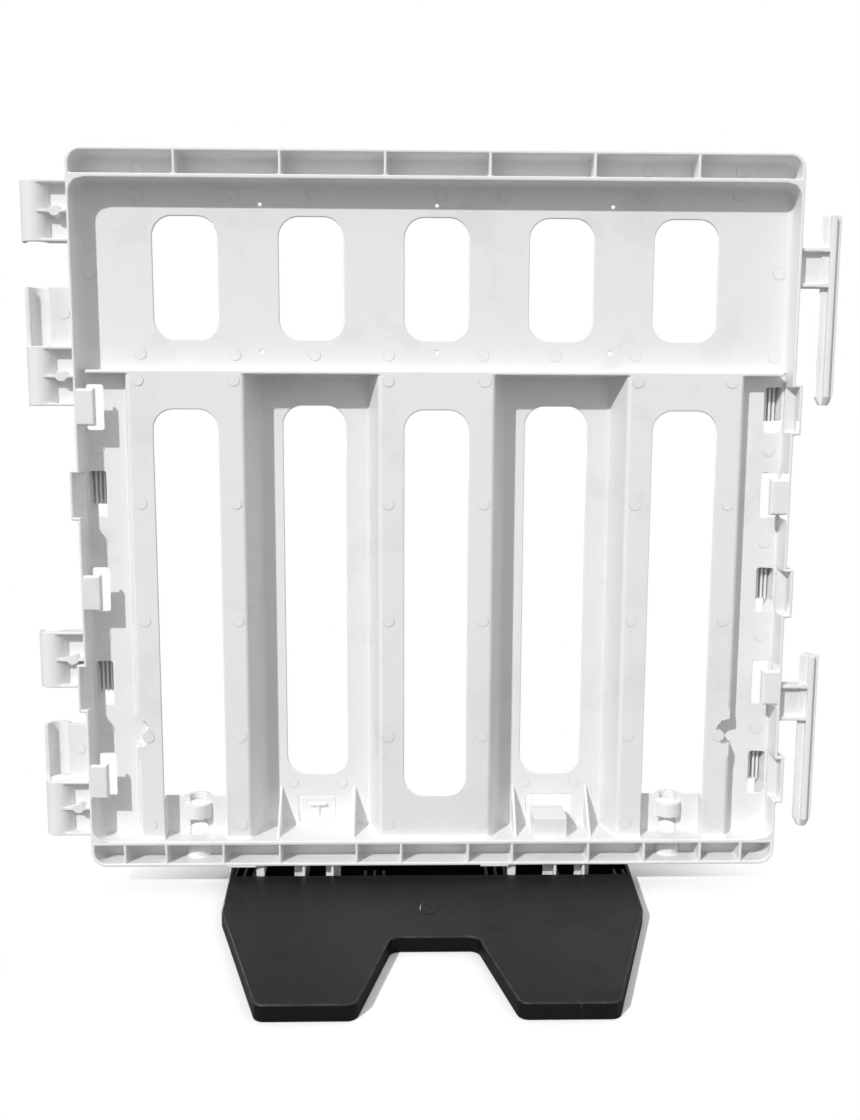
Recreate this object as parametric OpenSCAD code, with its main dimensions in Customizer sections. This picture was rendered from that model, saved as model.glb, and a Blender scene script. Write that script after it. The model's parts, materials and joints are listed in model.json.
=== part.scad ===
// Pedestrian barrier panel: a ribbed one-metre panel standing in a flat one-sided foot,
// with link pins on its right edge and matching pin knuckles on its left edge.
// X runs along the panel, Y from the ribbed side to the smooth side, Z up from the ground.
// Depths are measured from the free edge of the rim, heights from the panel's lower edge.

/* [Panel] */
// Width between the outer faces of the side walls
panel_w = 1000; // [960:5:1150]
// Height of the panel from its lower to its upper edge
panel_h = 1010; // [980:5:1250]
// Height of the panel's lower edge above the ground
panel_lift = 38; // [34:1:55]
// Depth of the rim from its free edge to the smooth face
rim_depth = 41; // [38:1:46]
// Thickness of skins, ribs and walls
wall = 4; // [3:0.5:5]
// Outer corner radius of the panel
corner_r = 22; // [14:1:30]
// Radius of the inner corners where the side walls meet the rails
pan_corner_r = 20; // [8:1:30]

/* [Rails] */
// Height of the top rail
top_rail_h = 40; // [32:1:60]
// Height of the bottom rail
bottom_rail_h = 38; // [32:1:45]
// Thickness of the rails' outer walls
rail_outer_t = 5; // [4:0.5:7]
// Thickness of the rails' inner walls
rail_inner_t = 6; // [4:0.5:8]
// Distance between the top rail's ribs
top_rib_pitch = 142; // [110:1:150]
// Height of the sign face
sign_h = 254; // [220:1:300]
// Thickness of the ledge under the sign face
ledge_t = 5; // [3:0.5:8]
// Gap between the ledge's ends and the side walls
ledge_end_gap = 9; // [4:1:20]

/* [Slots and corrugation] */
// Width of the strip that carries the edge clips
strip_w = 62; // [52:1:72]
// Width of every slot, as a share of the distance between slots
slot_share = 0.515; // [0.4:0.005:0.56]
// Half width of a pilaster's face, as a share of the distance between slots
face_share = 0.4635; // [0.43:0.0005:0.48]
// Corner radius of the slots
slot_r = 28; // [12:1:32]
// Height of the sign face's slots
sign_slot_h = 167; // [110:1:180]
// Depth of the pilaster faces
face_d = 12; // [8:1:16]
// Depth of the recess floors
recess_d = 65; // [56:1:75]
// Sideways run of a pilaster's sloping side
draft_run = 16; // [10:1:18]
// Distance from the pilaster slots up to the ledge
face_slot_top = 49; // [35:1:80]
// Distance from the centre pilaster's slot down to the bottom rail
face_slot_bottom = 65; // [50:1:100]
// Distance from the recess slots up to the ledge
recess_slot_top = 43; // [35:1:80]
// Distance from the recess slots down to the bottom rail
recess_slot_bottom = 81; // [70:1:110]
// Radius of the bite in the outer pilasters' outer sides
bite_r = 20; // [12:1:22]
// Height of the bite above the bottom rail
bite_z = 159; // [130:1:200]
// Diameter of the round post at the inner end of the bite
bite_post_d = 17; // [10:0.5:20]
// Distance of the post below the middle of the bite
bite_post_drop = 5; // [0:0.5:8]
// Diameter of the fixing holes in the sign face
fixing_d = 5; // [3:0.5:8]
// Distance of the fixing holes from the sign face's edges
fixing_edge = 27; // [16:1:32]
// Distance between the fixing holes in a row
fixing_pitch = 245; // [215:1:255]

/* [Edge clips] */
// Width of a clip hole
clip_w = 24; // [18:1:28]
// Height of a clip hole
clip_h = 64; // [50:1:70]
// Distance from a clip hole to the side wall
clip_edge = 3; // [1:0.5:6]
// Height of the lowest clip hole's centre
clip_first = 128.5; // [115:0.5:135]
// Distance from the ledge down to the top clip hole's centre
clip_top = 46.5; // [40:0.5:60]
// How far the top clip hole sits below an even pitch
clip_top_drop = 16; // [0:0.5:20]
// Width of an edge tab
tab_w = 28; // [20:1:32]
// Height of an edge tab
tab_h = 51; // [40:1:58]
// Thickness of an edge tab
tab_t = 5; // [3:0.5:7]
// Depth of the lip on a tab's inner edge
tab_lip = 5; // [2:0.5:8]
// How far a bulge stands out of the side wall
bulge_out = 10; // [6:0.5:14]
// Height of a bulge
bulge_h = 70; // [60:1:76]
// Depth at which a bulge runs back into the side wall
bulge_d = 32; // [24:1:34]
// Depth of a catch box behind the strip
catch_d = 22; // [14:1:26]

/* [Link hinges] */
// Distance of the hinge axes from the side walls' outer faces
hinge_out = 46; // [40:1:55]
// Diameter of the link pins
pin_d = 26; // [20:0.5:28]
// Width of the arms of the pins' cross section
pin_rib = 8; // [5:0.5:10]
// Clearance of a pin in its knuckles, on the diameter
pin_clear = 2; // [0.5:0.5:3]
// Wall thickness of a knuckle
knuckle_t = 6; // [4:0.5:8]
// Diameter of the round boss on a knuckle's middle rib
knuckle_boss_d = 15; // [8:0.5:18]
// Height of one knuckle
knuckle_h = 81; // [70:1:90]
// Height of the gap that takes the neighbour's arm
arm_gap_h = 58; // [56:1:70]
// Height of the lower pin's arm
arm_h = 53; // [40:1:54]
// Length of a pin above its arm
pin_above = 44; // [30:1:60]
// Length of a pin below its arm
pin_below = 162; // [140:1:170]
// Height of the pins' tapered ends
pin_taper = 12; // [8:1:16]
// Height of the lowest knuckle
hinge_low = 48; // [40:1:90]
// Distance from the upper knuckle down from the panel's top
hinge_top_gap = 43; // [40:1:70]

/* [Peg sockets] */
// Bore of the peg sockets
peg_d = 26; // [20:0.5:30]
// Wall thickness of the peg sockets
peg_t = 5.5; // [4:0.5:7]
// Height of a peg socket above the bottom rail
peg_h = 57; // [50:1:70]
// Height of the front band
peg_band_h = 21; // [16:1:26]
// Height of the rear half shell above the band
peg_cap_h = 11; // [8:1:16]

/* [Latch] */
// Width of the latch tongue
tongue_w = 52; // [40:1:60]
// Height of the latch tongue
tongue_h = 38; // [30:1:42]
// Width of the slit round the tongue
tongue_slit = 3; // [2:0.5:5]
// Height of the tongue's root above the bottom rail
tongue_root = 5; // [3:0.5:8]
// Running gap at the tongue's root
tongue_gap = 0.5; // [0.4:0.1:0.9]
// Width of the hook block
hook_w = 49; // [40:1:60]
// Height of the hook block
hook_h = 29; // [22:1:34]
// Width of the window over the hook block
window_w = 69; // [60:1:80]
// Height of the window's lower edge above the bottom rail
window_z = 18; // [14:1:24]
// Height of the window
window_h = 29; // [20:1:34]
// Height of the gussets
gusset_h = 62; // [50:1:70]
// Distance of the gussets' middles from the recess's sides
gusset_gap = 22.75; // [18:0.25:33]

/* [Foot] */
// Height of the foot's top above the ground
foot_h = 22; // [20:1:30]
// Sideways offset of the foot from the panel's centre
foot_x = -5; // [-15:1:15]
// Half width of the foot at its rear edge
foot_rear_half = 300; // [290:1:340]
// Half width of the foot at its widest kink
foot_kink_half = 289; // [275:1:300]
// Distance of the kink in front of the rim
foot_kink_y = 110; // [80:1:140]
// Distance of the pads' front edges in front of the rim
foot_front_y = 350; // [320:1:420]
// Half distance between the pads' outer corners
pad_out = 212; // [190:1:240]
// Half distance between the pads' inner corners
pad_in = 95; // [80:1:110]
// Half width of the notch between the pads
notch_half = 56; // [40:1:70]
// Distance of the notch in front of the rim
notch_y = 187; // [165:1:215]
// Depth of the foot's rear edge behind the rim
foot_rear_d = 66; // [60:1:80]
// Corner radius of the foot's outline
foot_r = 14; // [8:1:20]
// Depth at which the socket trough starts
trough_d = 3; // [2:0.5:5]
// Clearance of the lugs in the trough
lug_clear = 0.5; // [0.3:0.1:1]
// Distance between ribs under the foot
foot_rib_pitch = 58; // [45:1:75]
// Distance of a lug group's first web from the foot's rear corner
group_edge = 115; // [112:1:124]
// Width of a lug's plate
lug_w = 18; // [14:1:20]
// Distance of the second lug behind the first
lug_pitch = 42; // [38:1:48]
// Distance of the tapered peg from the first lug's web
lug_peg_x = 66; // [58:1:68]
// Half width of the tapered peg
lug_peg_half = 6; // [4:0.5:6.5]
// Distance between the trough's ribs
socket_rib_pitch = 13.5; // [10:0.5:13.5]
// Distance from the first lug's web to the ribs beyond the second lug
socket_rib_x = 88; // [80:1:90]

/* [Hidden] */
$fn = 48;

panel_white = [0.93, 0.93, 0.92];
foot_black = [0.13, 0.13, 0.14];
// Overshoot of cutting solids past the faces they cut
over = 1;

half_w = panel_w / 2;
side_in = half_w - wall;
floor_d = rim_depth - wall;
mid_d = rim_depth / 2;
sign_top = panel_h - top_rail_h;
sign_z = sign_top - sign_h;
ledge_z = sign_z - ledge_t;
field_h = ledge_z - bottom_rail_h;

// Slots and pilasters share the width between the two strips, in steps of a quarter millimetre
strip_run = draft_run * (floor_d - face_d) / (recess_d - face_d);
slot_pitch = quarter((half_w - strip_w - strip_run) / (2 + face_share));
slot_w = quarter(slot_share * slot_pitch);
face_half = quarter(face_share * slot_pitch);

// Sloping sides of the pilasters
side_t = wall * sqrt(1 + pow(draft_run / (recess_d - face_d), 2));
recess_edge = face_half + draft_run;
recess_half = slot_pitch - recess_edge;
recess_far = recess_d + wall;
strip_in = 2 * slot_pitch + side_x(floor_d);
gusset_x = recess_half - gusset_gap;

// Clip rows: every second hole has a tab, the others a bulge and a catch box
clip_pitch = quarter((ledge_z - clip_top + clip_top_drop - clip_first) / 4);
clip_rows = [for (i = [0 : 4]) clip_first + i * clip_pitch - (i == 4 ? clip_top_drop : 0)];
odd_rows = [clip_rows[1], clip_rows[3]];
even_rows = [clip_rows[0], clip_rows[2], clip_rows[4]];
clip_x = side_in - clip_edge - clip_w / 2;
catch_wall = 3;

// Link hinges
hinge_x = half_w + hinge_out;
knuckle_bore = (pin_d + pin_clear) / 2;
knuckle_r = knuckle_bore + knuckle_t;
upper_barrel_z = panel_h - hinge_top_gap - knuckle_h;
trough_z = upper_barrel_z - arm_gap_h - knuckle_h;
lower_barrel_z = trough_z - knuckle_h;
hinge_pitch = lower_barrel_z - hinge_low;
arm_z = upper_barrel_z - arm_h;

// Peg sockets
peg_r = peg_d / 2;
peg_out_r = peg_r + peg_t;
peg_axis_d = floor_d + wall / 2;
peg_x = 2 * slot_pitch;

// Latch
tongue_z = bottom_rail_h + tongue_root;
tongue_d = recess_d + wall / 2;

// Foot
trough_y0 = depth_y(trough_d);
trough_y1 = depth_y(rim_depth) + lug_clear;
trough_half = foot_rear_half - 2 * wall;
lug_z = wall - panel_lift;
group_half = foot_rear_half - group_edge;

// Places of the bottom rail's ribs as shares of the half width
rail_rib_share = [0.098, 0.228, 0.452, 0.616, 0.782, 0.902];
rail_rib_x = [for (share = rail_rib_share) each [-share * half_w, share * half_w]];

function quarter(x) = round(4 * x) / 4;
function depth_y(d) = d - rim_depth / 2;
// Distance of a pilaster's outer side surface from its middle, at a given depth
function side_x(d) = face_half + draft_run * (d - face_d) / (recess_d - face_d);

// Corner of an outline moved inwards along both of its edges
function inset_corner(a, b, c, d) =
    let (u = (b - a) / norm(b - a), v = (c - b) / norm(c - b))
    let (m = [-u.y, u.x], n = [-v.y, v.x])
    b + (m + n) * d / (1 + m * n);
function inset_outline(points, d) =
    let (n = len(points))
    [for (i = [0 : n - 1]) inset_corner(points[(i + n - 1) % n], points[i], points[(i + 1) % n], d)];

// Arc that rounds the corner b between its neighbours a and c
function corner_arc(a, b, c, r, steps = 6) =
    let (u = (a - b) / norm(a - b), v = (c - b) / norm(c - b))
    let (half = acos(u * v) / 2, centre = b + (u + v) / norm(u + v) * r / sin(half))
    let (start = b + u * r / tan(half) - centre)
    let (turn = (cross(u, v) > 0 ? -1 : 1) * (180 - 2 * half))
    [for (i = [0 : steps]) let (t = turn * i / steps)
        centre + [start.x * cos(t) - start.y * sin(t), start.x * sin(t) + start.y * cos(t)]];
function rounded_outline(points, r) =
    let (n = len(points))
    [for (i = [0 : n - 1]) each corner_arc(points[(i + n - 1) % n], points[i], points[(i + 1) % n], r)];

// Shape drawn in the X-Z plane, extruded between two depths
module slab(d0, d1) {
    translate([0, depth_y(d1), panel_lift])
        rotate([90, 0, 0])
            linear_extrude(height = d1 - d0)
                children();
}

// Shape drawn in the X-depth plane, extruded between two heights
module column(z0, z1) {
    translate([0, depth_y(0), panel_lift + z0])
        linear_extrude(height = z1 - z0)
            children();
}

// Shape drawn in the depth-Z plane, extruded along X about a middle plane
module side_plate(x, t) {
    translate([x - t / 2, depth_y(0), panel_lift])
        rotate([90, 0, 90])
            linear_extrude(height = t)
                children();
}

// Box between two corners given as X, depth and height
module block(low, high) {
    translate([low.x, depth_y(low.y), panel_lift + low.z])
        cube(high - low);
}

// Upright round bar on a vertical axis
module bar(x, d, z0, z1, r) {
    translate([x, depth_y(d), panel_lift + z0])
        cylinder(h = z1 - z0, r = r);
}

module rounded_rect(w, h, r) {
    square([w - 2 * r, h], center = true);
    square([w, h - 2 * r], center = true);
    for (x = [-1, 1], y = [-1, 1])
        translate([x * (w / 2 - r), y * (h / 2 - r)])
            circle(r = r);
}

module slot(x, z0, z1) {
    translate([x, (z0 + z1) / 2])
        rounded_rect(slot_w, z1 - z0, slot_r);
}

module panel_outline(inset) {
    translate([0, panel_h / 2])
        rounded_rect(panel_w - 2 * inset, panel_h - 2 * inset, corner_r - inset);
}

// Part of the panel's outline between two heights
module outline_band(inset, z0, z1) {
    intersection() {
        panel_outline(inset);
        translate([-panel_w, z0])
            square([2 * panel_w, z1 - z0]);
    }
}

module rail_ribs(places, z0, z1) {
    for (x = places)
        block([x - wall / 2, 0, z0], [x + wall / 2, floor_d, z1]);
}

module top_rail() {
    color(panel_white)
        difference() {
            slab(0, rim_depth)
                outline_band(0, sign_top, panel_h);
            difference() {
                slab(-over, floor_d)
                    outline_band(rail_outer_t, sign_top + rail_inner_t, panel_h);
                rail_ribs([for (i = [-2.5 : 2.5]) i * top_rib_pitch], sign_top, panel_h);
            }
        }
}

// Closing plate between the frame and the floor of a recess
module recess_end(x, z0, z1) {
    reach = recess_half + side_t + over;
    block([x - reach, rim_depth, z0], [x + reach, recess_far, z1]);
}

module bottom_rail() {
    shelf_z = bottom_rail_h - rail_inner_t;
    color(panel_white) {
        difference() {
            slab(0, rim_depth)
                outline_band(0, 0, bottom_rail_h);
            difference() {
                slab(-over, floor_d)
                    outline_band(rail_outer_t, 0, shelf_z);
                rail_ribs(rail_rib_x, 0, bottom_rail_h);
                for (x = [-peg_x, peg_x])
                    bar(x, peg_axis_d, 0, bottom_rail_h, peg_out_r);
            }
            for (x = [-peg_x, peg_x])
                bar(x, peg_axis_d, -over, bottom_rail_h + over, peg_r);
        }
        for (x = [-slot_pitch, slot_pitch])
            recess_end(x, shelf_z, bottom_rail_h);
    }
}

module sign_face() {
    color(panel_white)
        slab(floor_d, rim_depth)
            difference() {
                translate([-side_in, sign_z])
                    square([2 * side_in, sign_h]);
                for (i = [-2 : 2])
                    translate([i * slot_pitch, sign_z + sign_h / 2])
                        rounded_rect(slot_w, sign_slot_h, slot_r);
                for (i = [-1 : 1], z = [sign_z + fixing_edge, sign_top - fixing_edge])
                    translate([i * fixing_pitch, z])
                        circle(d = fixing_d);
            }
}

module mid_rail() {
    reach = side_in - ledge_end_gap;
    color(panel_white) {
        block([-reach, face_d, ledge_z], [reach, floor_d, sign_z]);
        block([-side_in, floor_d, ledge_z], [side_in, rim_depth, sign_z]);
        for (x = [-slot_pitch, slot_pitch])
            recess_end(x, ledge_z, sign_z);
    }
}

// Section of a bulge: a wall that leans out towards the rim, or its closed end
module bulge_section(closed) {
    lip = half_w + bulge_out;
    knee = bulge_d - bulge_out - wall / 2;
    polygon(concat(
        [[half_w, bulge_d], [lip, knee], [lip, 0]],
        closed ? [[side_in, 0], [side_in, bulge_d]]
               : [[lip - wall, 0], [lip - wall, knee - wall / 2], [side_in, bulge_d]]));
}

// What is left of a square outside the quarter circle in it, for an upper or a lower corner
module inner_corner(r, upper) {
    mirror([0, upper ? 0 : 1])
        difference() {
            square(r);
            circle(r = r);
        }
}

// Right-hand stile: side wall with bulges, and the strip with its clip holes
module stile(bulges) {
    difference() {
        union() {
            block([side_in, 0, bottom_rail_h], [half_w, rim_depth, sign_top]);
            block([strip_in, floor_d, bottom_rail_h], [half_w, rim_depth, ledge_z]);
        }
        for (z = bulges)
            block([side_in - over, -over, z - bulge_h / 2], [half_w + over, bulge_d, z + bulge_h / 2]);
        slab(floor_d - over, rim_depth + over)
            for (z = clip_rows)
                translate([clip_x, z])
                    rounded_rect(clip_w, clip_h, wall);
    }
    for (z = bulges) {
        column(z - bulge_h / 2, z + bulge_h / 2)
            bulge_section(false);
        for (end = [z - bulge_h / 2, z + bulge_h / 2 - wall])
            column(end, end + wall)
                bulge_section(true);
    }
    slab(0, floor_d)
        translate([side_in - pan_corner_r, 0]) {
            translate([0, sign_top - pan_corner_r])
                inner_corner(pan_corner_r, true);
            translate([0, bottom_rail_h + pan_corner_r])
                inner_corner(pan_corner_r, false);
        }
}

module left_stile() {
    color(panel_white)
        mirror([1, 0, 0])
            stile(odd_rows);
}

module right_stile() {
    color(panel_white)
        stile(even_rows);
}

// Right-hand edge tabs: plates at the rim with a lip on the inner edge
module edge_tabs(rows) {
    inner = half_w - tab_w;
    for (z = rows) {
        block([inner, 0, z - tab_h / 2], [side_in, tab_t, z + tab_h / 2]);
        block([inner, tab_t, z - tab_h / 2], [inner + catch_wall, tab_t + tab_lip, z + tab_h / 2]);
    }
}

module left_edge_tabs() {
    color(panel_white)
        mirror([1, 0, 0])
            edge_tabs(even_rows);
}

module right_edge_tabs() {
    color(panel_white)
        edge_tabs(odd_rows);
}

// Right-hand catch boxes behind the clip holes, ribbed inside and open at the bottom
module catch_boxes(rows) {
    w = clip_w / 2;
    far = rim_depth + catch_d;
    for (z = rows) {
        top = z + clip_h / 2;
        low = z - clip_h / 4;
        for (side = [-1, 1])
            let (x = clip_x + side * (w + catch_wall / 2))
                block([x - catch_wall / 2, rim_depth, low], [x + catch_wall / 2, far, top]);
        block([clip_x - w, far - catch_wall, low], [clip_x + w, far, top]);
        block([clip_x - w - catch_wall, rim_depth, top], [clip_x + w + catch_wall, far, top + catch_wall]);
        for (i = [-1 : 1])
            let (x = clip_x + i * w / 2)
                block([x - catch_wall / 2, rim_depth + catch_d / 2, low],
                      [x + catch_wall / 2, far - catch_wall, top]);
    }
}

module left_catch_boxes() {
    color(panel_white)
        mirror([1, 0, 0])
            catch_boxes(odd_rows);
}

module right_catch_boxes() {
    color(panel_white)
        catch_boxes(even_rows);
}

// Outer surface of a pilaster's hat section, with the depth of the floor it meets on each side
function hat_points(left_d, right_d) =
    [[-side_x(left_d), left_d + wall], [-side_x(left_d), left_d], [-face_half, face_d],
     [face_half, face_d], [side_x(right_d), right_d], [side_x(right_d), right_d + wall]];
// Inner surface of the same section, in the other direction
function hat_inner_points(left_d, right_d) =
    let (inner_top = side_x(face_d + wall) - side_t)
    [[side_x(right_d + wall) - side_t, right_d + wall], [inner_top, face_d + wall],
     [-inner_top, face_d + wall], [-side_x(left_d + wall) + side_t, left_d + wall]];

module pilaster(x, left_d, right_d, slot_z) {
    color(panel_white)
        difference() {
            translate([x, 0, 0])
                column(bottom_rail_h, ledge_z)
                    polygon(concat(hat_points(left_d, right_d), hat_inner_points(left_d, right_d)));
            slab(face_d - over, face_d + wall + over)
                slot(x, slot_z, ledge_z - face_slot_top);
            children();
        }
}

// Round bar along Y through the bite in the right pilaster's outer side
module bite_bar(r, d1) {
    slab(face_d - over, d1)
        translate([2 * slot_pitch + face_half, bottom_rail_h + bite_z])
            circle(r = r);
}

// Round post at the inner end of the bite
module bite_post() {
    slab(face_d, floor_d + wall)
        translate([2 * slot_pitch + face_half - 0.8 * bite_r, bottom_rail_h + bite_z - bite_post_drop])
            circle(d = bite_post_d);
}

// Right-hand outer pilaster, with the bite that lets a neighbour's tab pass: a cup with a round post
module outer_pilaster() {
    pilaster(2 * slot_pitch, recess_d, floor_d, bottom_rail_h - 2 * slot_r)
        bite_bar(bite_r, floor_d);
    color(panel_white)
        intersection() {
            union() {
                difference() {
                    bite_bar(bite_r + wall, floor_d + wall);
                    bite_bar(bite_r, floor_d);
                }
                bite_post();
            }
            translate([2 * slot_pitch, 0, 0])
                column(bottom_rail_h, ledge_z)
                    polygon(hat_points(recess_d, floor_d));
        }
}

module left_pilaster() mirror([1, 0, 0]) outer_pilaster();
module centre_pilaster() pilaster(0, recess_d, recess_d, bottom_rail_h + face_slot_bottom);
module right_pilaster() outer_pilaster();

// Floor of a recess, with its slot and one more opening given as a child
module recess_panel(x) {
    color(panel_white)
        slab(recess_d, recess_far)
            difference() {
                translate([x - recess_half, bottom_rail_h])
                    square([2 * recess_half, field_h]);
                slot(x, bottom_rail_h + recess_slot_bottom, ledge_z - recess_slot_top);
                children();
            }
}

module left_recess_panel() {
    recess_panel(-slot_pitch)
        translate([-slot_pitch - tongue_w / 2 - tongue_slit, tongue_z])
            square([tongue_w + 2 * tongue_slit, tongue_h + tongue_slit]);
}

module right_recess_panel() {
    recess_panel(slot_pitch)
        translate([slot_pitch, bottom_rail_h + window_z + window_h / 2])
            rounded_rect(window_w, window_h, wall);
}

module gussets() {
    color(panel_white)
        for (recess = [-slot_pitch, slot_pitch], side = [-1, 1])
            side_plate(recess + side * gusset_x, wall)
                polygon([[face_d, bottom_rail_h], [recess_d, bottom_rail_h],
                         [recess_d, bottom_rail_h + gusset_h]]);
}

// Half of a tube wall, in front of or behind its axis, which it passes by half a wall
module half_tube(x, d, z0, z1, outer, inner, front) {
    reach = outer + over;
    difference() {
        bar(x, d, z0, z1, outer);
        bar(x, d, z0 - over, z1 + over, inner);
        let (d0 = front ? d + wall / 2 : d - wall / 2 - reach)
            block([x - reach, d0, z0 - over], [x + reach, d0 + reach, z1 + over]);
    }
}

// Socket for a ground peg: half shells that face forwards and backwards in turn
module peg_socket(x) {
    top = bottom_rail_h + peg_h;
    band_top = top - peg_cap_h;
    band_low = band_top - peg_band_h;
    shell_low = band_low - peg_band_h * 0.75;
    cheek_x = slot_w / 2;
    half = wall / 2;
    color(panel_white) {
        difference() {
            block([x - cheek_x, peg_axis_d - half, bottom_rail_h], [x + cheek_x, peg_axis_d + half, top]);
            bar(x, peg_axis_d, bottom_rail_h - over, top + over, peg_r);
        }
        half_tube(x, peg_axis_d, band_low, band_top, peg_out_r, peg_r, true);
        half_tube(x, peg_axis_d, band_top, top, peg_out_r, peg_r, false);
        half_tube(x, peg_axis_d, shell_low, band_low, peg_out_r, peg_r, false);
        for (side = [-1, 1])
            let (c = x + side * (cheek_x + half))
                block([c - half, face_d + wall, bottom_rail_h], [c + half, peg_axis_d + half, top]);
    }
}

module left_peg_socket() peg_socket(-peg_x);
module right_peg_socket() peg_socket(peg_x);

// Half barrel of a knuckle with its web, three ribs and the round boss on the middle rib
module barrel(x, z) {
    top = z + knuckle_h;
    rib_d = mid_d - knuckle_r + wall / 8;
    boss_x = (x + knuckle_bore - half_w) / 2;
    half_tube(x, mid_d, z, top, knuckle_r, knuckle_bore / 2, true);
    block([x, mid_d - wall, z], [-half_w, mid_d + wall / 2, top]);
    for (rib = [z, (z + top - wall) / 2, top - wall])
        block([x, rib_d, rib], [-half_w, mid_d, rib + wall]);
    translate([boss_x, depth_y(mid_d), panel_lift + (z + top) / 2])
        rotate([90, 0, 0])
            cylinder(h = mid_d - rib_d, d = knuckle_boss_d);
}

// Left-hand knuckles at one height: two half barrels, and a trough that is open to the front
module knuckles(drop) {
    x = -hinge_x;
    low = lower_barrel_z - drop;
    middle = trough_z - drop;
    top = upper_barrel_z - drop;
    color(panel_white)
        difference() {
            union() {
                barrel(x, top);
                barrel(x, low);
                half_tube(x, mid_d, middle, middle + knuckle_h, knuckle_r, knuckle_bore / 2, false);
                block([x, mid_d - wall / 2, middle], [-half_w, mid_d + wall, middle + knuckle_h]);
            }
            bar(x, mid_d, low - over, top + knuckle_h + over, knuckle_bore);
            mirror([1, 0, 0])
                for (z = odd_rows)
                    column(z - bulge_h / 2, z + bulge_h / 2)
                        bulge_section(true);
        }
}

module upper_knuckles() knuckles(0);
module lower_knuckles() knuckles(hinge_pitch);

// Link pin of cross section on its arm, with a tapered lower end
module link_pin(drop) {
    r = pin_d / 2;
    z0 = arm_z - pin_below - drop;
    z1 = arm_z + arm_h + pin_above - drop;
    rib_d = mid_d - r + wall / 2;
    color(panel_white) {
        intersection() {
            union() {
                bar(hinge_x, mid_d, z0 + pin_taper, z1, r);
                translate([hinge_x, depth_y(mid_d), panel_lift + z0])
                    cylinder(h = pin_taper, r1 = r / 2, r2 = r);
            }
            union() {
                block([hinge_x - r, mid_d - pin_rib / 2, z0], [hinge_x + r, mid_d + pin_rib / 2, z1]);
                block([hinge_x - pin_rib / 2, mid_d - r, z0], [hinge_x + pin_rib / 2, mid_d + r, z1]);
            }
        }
        block([half_w, mid_d - wall / 2, arm_z - drop], [hinge_x, mid_d + wall / 2, arm_z + arm_h - drop]);
        for (z = [arm_z - drop, arm_z + arm_h - rail_outer_t - drop])
            block([half_w, rib_d, z], [hinge_x, rim_depth - rib_d, z + rail_outer_t]);
    }
}

module upper_link_pin() link_pin(0);
module lower_link_pin() link_pin(hinge_pitch);

// Flexing tongue with a T-shaped catch on its face
module latch_tongue() {
    x = -slot_pitch;
    half = tongue_w / 2;
    low = tongue_z + tongue_gap;
    top = tongue_z + tongue_h;
    catch_half = tongue_w / 4;
    color(panel_white) {
        block([x - half, recess_d, low], [x + half, recess_far, top]);
        block([x - catch_half, recess_d - wall, top - 3 * wall], [x + catch_half, recess_d, top - 2 * wall]);
        side_plate(x, wall)
            polygon([[recess_d - wall, top - 3 * wall], [recess_d, top - 3 * wall], [recess_d, low + wall]]);
    }
}

// Hollow hook block that stands out of the right recess
module latch_hook() {
    x = slot_pitch - wall;
    half = hook_w / 2;
    top = bottom_rail_h + hook_h;
    color(panel_white)
        difference() {
            block([x - half, face_d, bottom_rail_h], [x + half, recess_d, top]);
            block([x - half + wall, face_d + wall, bottom_rail_h - over],
                  [x + half - wall, recess_d + over, top - wall]);
        }
}

// Lugs of one group under the bottom rail: a pad, a tapered peg and two webbed posts
module base_lugs(x) {
    near = trough_d + lug_clear;
    post_d = (near + rim_depth) / 2;
    web_b = x + lug_pitch - wall;
    peg_x0 = x - lug_peg_x;
    pad_x = peg_x0 - lug_peg_half;
    tip = lug_peg_half / 3;
    color(panel_white) {
        block([pad_x - 3 * socket_rib_pitch, 0, -wall / 2], [pad_x, rim_depth, 0]);
        slab(near + wall, rim_depth - wall)
            polygon([[peg_x0 - lug_peg_half, 0], [peg_x0 - lug_peg_half, lug_z / 2], [peg_x0 - tip, lug_z],
                     [peg_x0 + tip, lug_z], [peg_x0 + lug_peg_half, lug_z / 2], [peg_x0 + lug_peg_half, 0]]);
        block([x - lug_w, post_d, lug_z], [x - wall, post_d + wall, 0]);
        block([web_b - lug_w / 2, post_d, lug_z], [web_b + lug_w / 2 + wall, post_d + wall, 0]);
        for (web = [x - wall, web_b])
            block([web, near, lug_z], [web + wall, rim_depth, 0]);
    }
}

module left_base_lugs() base_lugs(foot_x - group_half);
module right_base_lugs() base_lugs(foot_x + group_half);

function foot_points() =
    let (rear = depth_y(foot_rear_d), front = depth_y(-foot_front_y))
    let (kink = depth_y(-foot_kink_y), notch = depth_y(-notch_y))
    [[foot_rear_half, rear], [-foot_rear_half, rear], [-foot_kink_half, kink], [-pad_out, front],
     [-pad_in, front], [-notch_half, notch], [notch_half, notch], [pad_in, front],
     [pad_out, front], [foot_kink_half, kink]];

module foot_prism(inset, z0, z1) {
    translate([foot_x, 0, z0])
        linear_extrude(height = z1 - z0)
            polygon(rounded_outline(inset_outline(foot_points(), inset), foot_r - inset));
}

// Trough for the lugs, grown on its sides and ends
module trough_box(grow, z0, z1) {
    translate([foot_x - trough_half - grow, trough_y0 - grow, z0])
        cube([2 * (trough_half + grow), trough_y1 - trough_y0 + 2 * grow, z1 - z0]);
}

module foot_shell() {
    color(foot_black)
        difference() {
            foot_prism(0, 0, foot_h);
            difference() {
                foot_prism(wall, -over, foot_h - wall);
                trough_box(wall, 0, foot_h);
            }
            trough_box(0, wall, foot_h + over);
        }
}

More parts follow.
